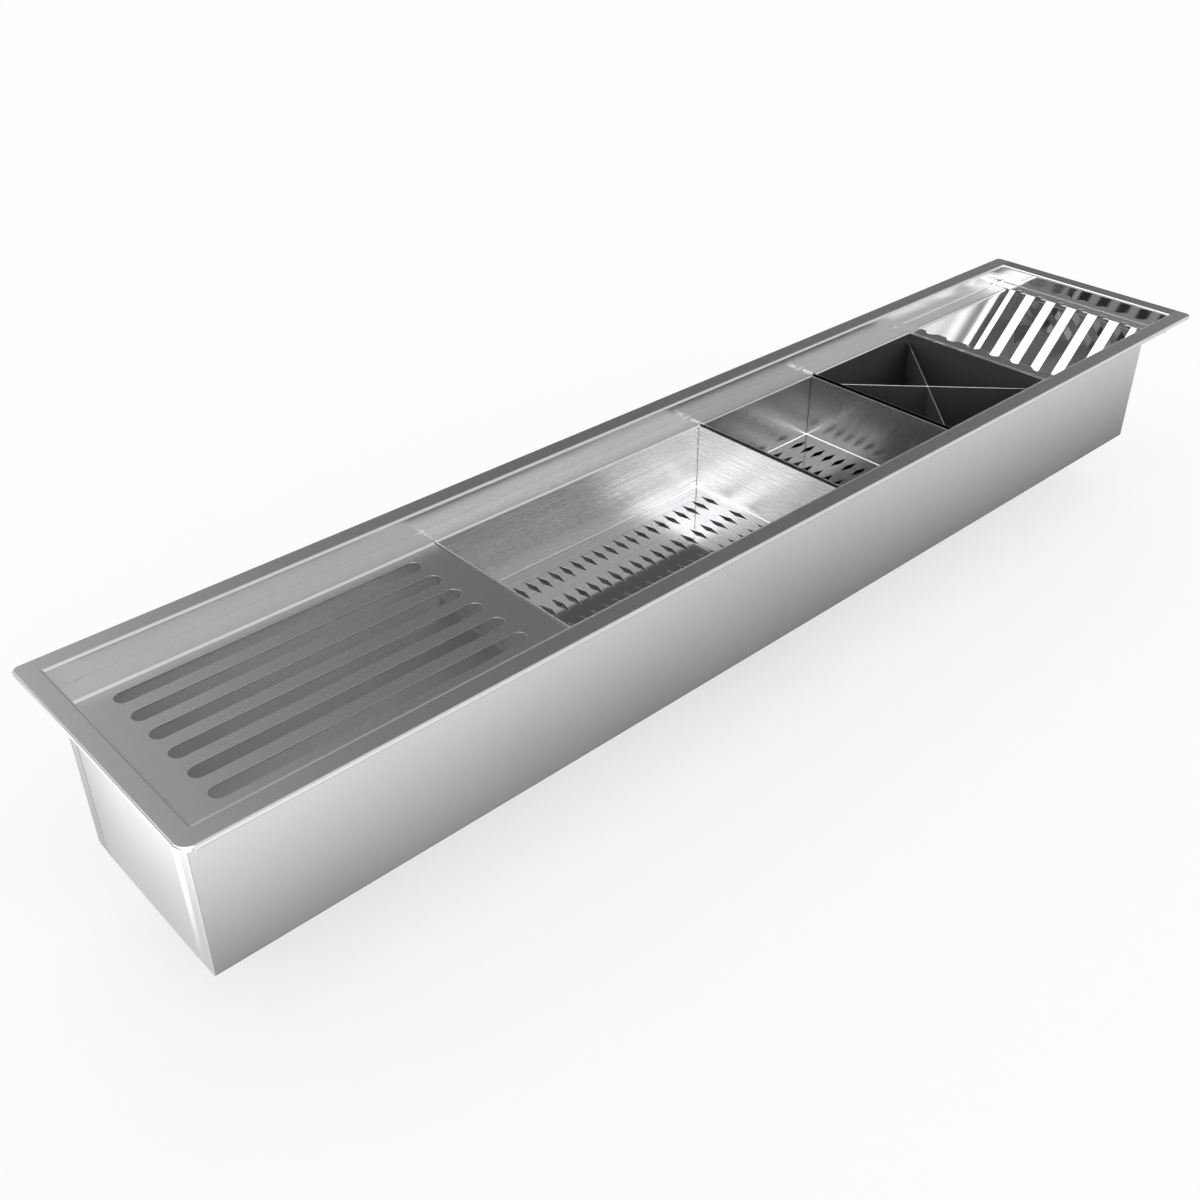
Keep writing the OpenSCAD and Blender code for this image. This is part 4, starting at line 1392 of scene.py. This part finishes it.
@dataclass
class Studio:
    """Camera, floor and surroundings. The levels are those of light, where 1 is white.

    The metal sees painted levels on the floor: a painted shadow towards the trough's long sides,
    and a painted glow beside its left end, except behind a line from there, 2 * X + Y = constant,
    that the pressed panel's slopes face.
    """

    eye: tuple[float, float, float] = (-0.6659, -0.5845, 0.4648)
    azimuth: float = 42.438
    down: float = 33.929
    roll: float = -0.2498
    lens: float = 40.16
    floor_z: float = -0.1655
    floor_side: float = 12.0
    sky_level: float = 0.85
    horizon_level: float = 1.3
    horizon_from: float = 0.22
    horizon_to: float = 0.02
    patches: tuple[SkyPatch, ...] = (
        SkyPatch(50, 32, 2, 43, 0.15), SkyPatch(137, 40, 15, 50, 0.86), SkyPatch(-52, 22, 8, 24, 0.35),
        SkyPatch(-38, 56, 11, 24, 2.1), SkyPatch(-138, 38, 16, 42, 4.2))
    front: Ramp = Ramp(-0.26, -0.085, 1.07, 0.17)
    back: Ramp = Ramp(0.085, 0.4, 0.17, 0.62)
    lift: Ramp = Ramp(-0.45, 0.1, 1.42, 1.0)
    glow: Ramp = Ramp(-0.61, -0.52, 2.8, 0.81)
    fade: Ramp = Ramp(-0.78, -0.67, 0.5, 2.8)
    behind: Ramp = Ramp(-0.92, -0.84, 0, 1, True)
    beyond_end: Ramp = Ramp(-0.50, -0.47, 1, 0, True)
    behind_level: float = 0.45
    shadow_hidden: float = 0.6

    def camera(self) -> None:
        """Adds the camera at the photograph's place and angle."""
        a, e, r = map(math.radians, (self.azimuth, self.down, self.roll))
        ahead = Vector((math.sin(a) * math.cos(e), math.cos(a) * math.cos(e), -math.sin(e)))
        right = ahead.cross(Vector((0, 0, 1))).normalized()
        up = right.cross(ahead)
        right, up = right * math.cos(r) + up * math.sin(r), up * math.cos(r) - right * math.sin(r)
        data = bpy.data.cameras.new("camera")
        data.lens, data.sensor_width = self.lens, 36.0
        data.clip_start, data.clip_end = 0.01, 50.0
        cam = new_object("camera", data)
        cam.matrix_world = Matrix([*zip(right, up, -ahead, self.eye), (0, 0, 0, 1)])
        bpy.context.scene.camera = cam

    def surroundings(self) -> None:
        """The world: white to the camera, and soft grey and bright patches to the metal."""
        world = bpy.data.worlds.new("studio")
        bpy.context.scene.world = world
        tree = node_tree(world)
        towards = add_node(tree, "TexCoord").outputs["Generated"]
        light = self.sky_level
        for patch in self.patches:
            facing = add_node(tree, "VectorMath", {
                0: towards, 1: patch.direction()}, operation="DOT_PRODUCT")
            share = add_node(tree, "MapRange", {
                "Value": facing, "From Min": math.cos(math.radians(patch.outer)),
                "From Max": math.cos(math.radians(patch.inner))}, interpolation_type="SMOOTHSTEP")
            light = add_node(tree, "Mix", {0: share, 2: light, 3: patch.level})
        low = add_node(tree, "MapRange", {
            "Value": add_node(tree, "SeparateXYZ", {0: towards}).outputs["Z"],
            "From Min": self.horizon_from, "From Max": self.horizon_to}, interpolation_type="SMOOTHSTEP")
        light = add_node(tree, "Mix", {0: low, 2: light, 3: self.horizon_level})
        glossy = add_node(tree, "LightPath").outputs["Is Glossy Ray"]
        seen = add_node(tree, "Mix", {0: glossy, 2: 1.0, 3: light})
        back = add_node(tree, "Background", {"Color": (1, 1, 1, 1), "Strength": seen})
        add_node(tree, "OutputWorld", {0: back})
        world.cycles.sampling_method = "NONE"

    def floor_finish(self) -> Material:
        """Matt white, but the metal sees painted shadow and glow on it, and the camera sees less of its
        shadow.

        Returns:
            The material.
        """
        made = bpy.data.materials.new("matt_white_floor")
        tree = node_tree(made)
        x, y, _ = add_node(tree, "SeparateXYZ", {0: add_node(tree, "TexCoord").outputs["Object"]}).outputs
        line = add_node(tree, "Math", {0: x, 1: 2.0, 2: y}, operation="MULTIPLY_ADD")
        # painted shadow and glow: emission that only glossy rays see, darker beside the trough's long sides
        # and brighter beside its left end
        front, back, lift, glow, fade, behind, beyond = (
            add_node(tree, "MapRange", {
                "Value": value, "From Min": ramp.start, "From Max": ramp.stop, "To Min": ramp.low,
                "To Max": ramp.high}, interpolation_type="SMOOTHSTEP" if ramp.smooth else "LINEAR")
            for value, ramp in ((y, self.front), (y, self.back), (x, self.lift), (x, self.glow),
                                (x, self.fade), (line, self.behind), (x, self.beyond_end)))
        beside = add_node(tree, "Math", {0: front, 1: back}, operation="MAXIMUM")
        long = add_node(tree, "Math", {0: beside, 1: lift}, operation="MULTIPLY")
        near = add_node(tree, "Math", {0: glow, 1: fade}, operation="MINIMUM")
        end = add_node(tree, "Mix", {0: behind, 2: near, 3: self.behind_level})
        level = add_node(tree, "Mix", {0: beyond, 2: long, 3: end})
        path = add_node(tree, "LightPath").outputs
        share = add_node(tree, "Math", {
            0: path["Is Camera Ray"], 1: self.shadow_hidden}, operation="MULTIPLY")
        matt = add_node(tree, "BsdfDiffuse", {"Color": (0.98, 0.98, 0.98, 1)})
        pale = add_node(tree, "MixShader", {0: share, 1: matt, 2: add_node(tree, "Emission")})
        shine = add_node(tree, "Emission", {"Strength": level})
        mixed = add_node(tree, "MixShader", {0: path["Is Glossy Ray"], 1: pale, 2: shine})
        add_node(tree, "OutputMaterial", {0: mixed})
        return made

    def floor(self) -> None:
        """Adds a plain pale floor just under the waste's outlet."""
        half = self.floor_side / 2
        mesh = bpy.data.meshes.new("floor")
        corners = ((-half, -half), (half, -half), (half, half), (-half, half))
        mesh.from_pydata([(x, y, self.floor_z) for x, y in corners], [], [(0, 1, 2, 3)])
        mesh.materials.append(self.floor_finish())
        new_object("floor", mesh)

    def build(self) -> None:
        """Makes the whole studio."""
        self.camera()
        self.surroundings()
        self.floor()
        bpy.context.scene.view_settings.view_transform = "Standard"


def main() -> None:
    """Builds everything in order."""
    logging.basicConfig(level=logging.INFO, format="%(name)s: %(message)s")
    Studio().build()
    satin, brushed, fine, polished, tray_floor, basket_floor, dark, divider = (
        s.material() for s in (SATIN_SHEET, BRUSHED_SHEET, FINE_BRUSHED_SHEET, POLISHED_SHEET,
                               TRAY_FLOOR, BASKET_FLOOR, DARK_SHEET, DARK_DIVIDER))
    Trough().build(satin, polished)
    PlateRack().build(satin)
    Basket().build(brushed, tray_floor, polished)
    Basket(name="basket", nodes=("basket_walls", "basket_floor"), left=43.5, length=134.0,
           hole_size=(20.9, 5.5), hole_pitch=(29.8, 10.9)).build(fine, basket_floor, polished)
    box = CutleryBox()
    box.build(dark, dark, dark)
    box.build_dividers(divider)
    SaucerRack().build(polished)
    for finish, slot, nodes in (
            (WASTE_STEEL, "waste_steel", ("drain_flange", "drain_screw", "drain_strainer")),
            (GREY_MOULDING, "waste_plastic", ("drain_body",)),
            (TURNED_BRASS, "brass", ("drain_insert",)),
            (BLACK_RUBBER, "rubber", ("drain_upper_seal", "drain_lower_seal")),
            (CELL_FOAM, "foam", ("worktop_seal",))):
        made = finish.material()
        for node in nodes:
            dress(node, made)


if __name__ == "__main__":
    main()
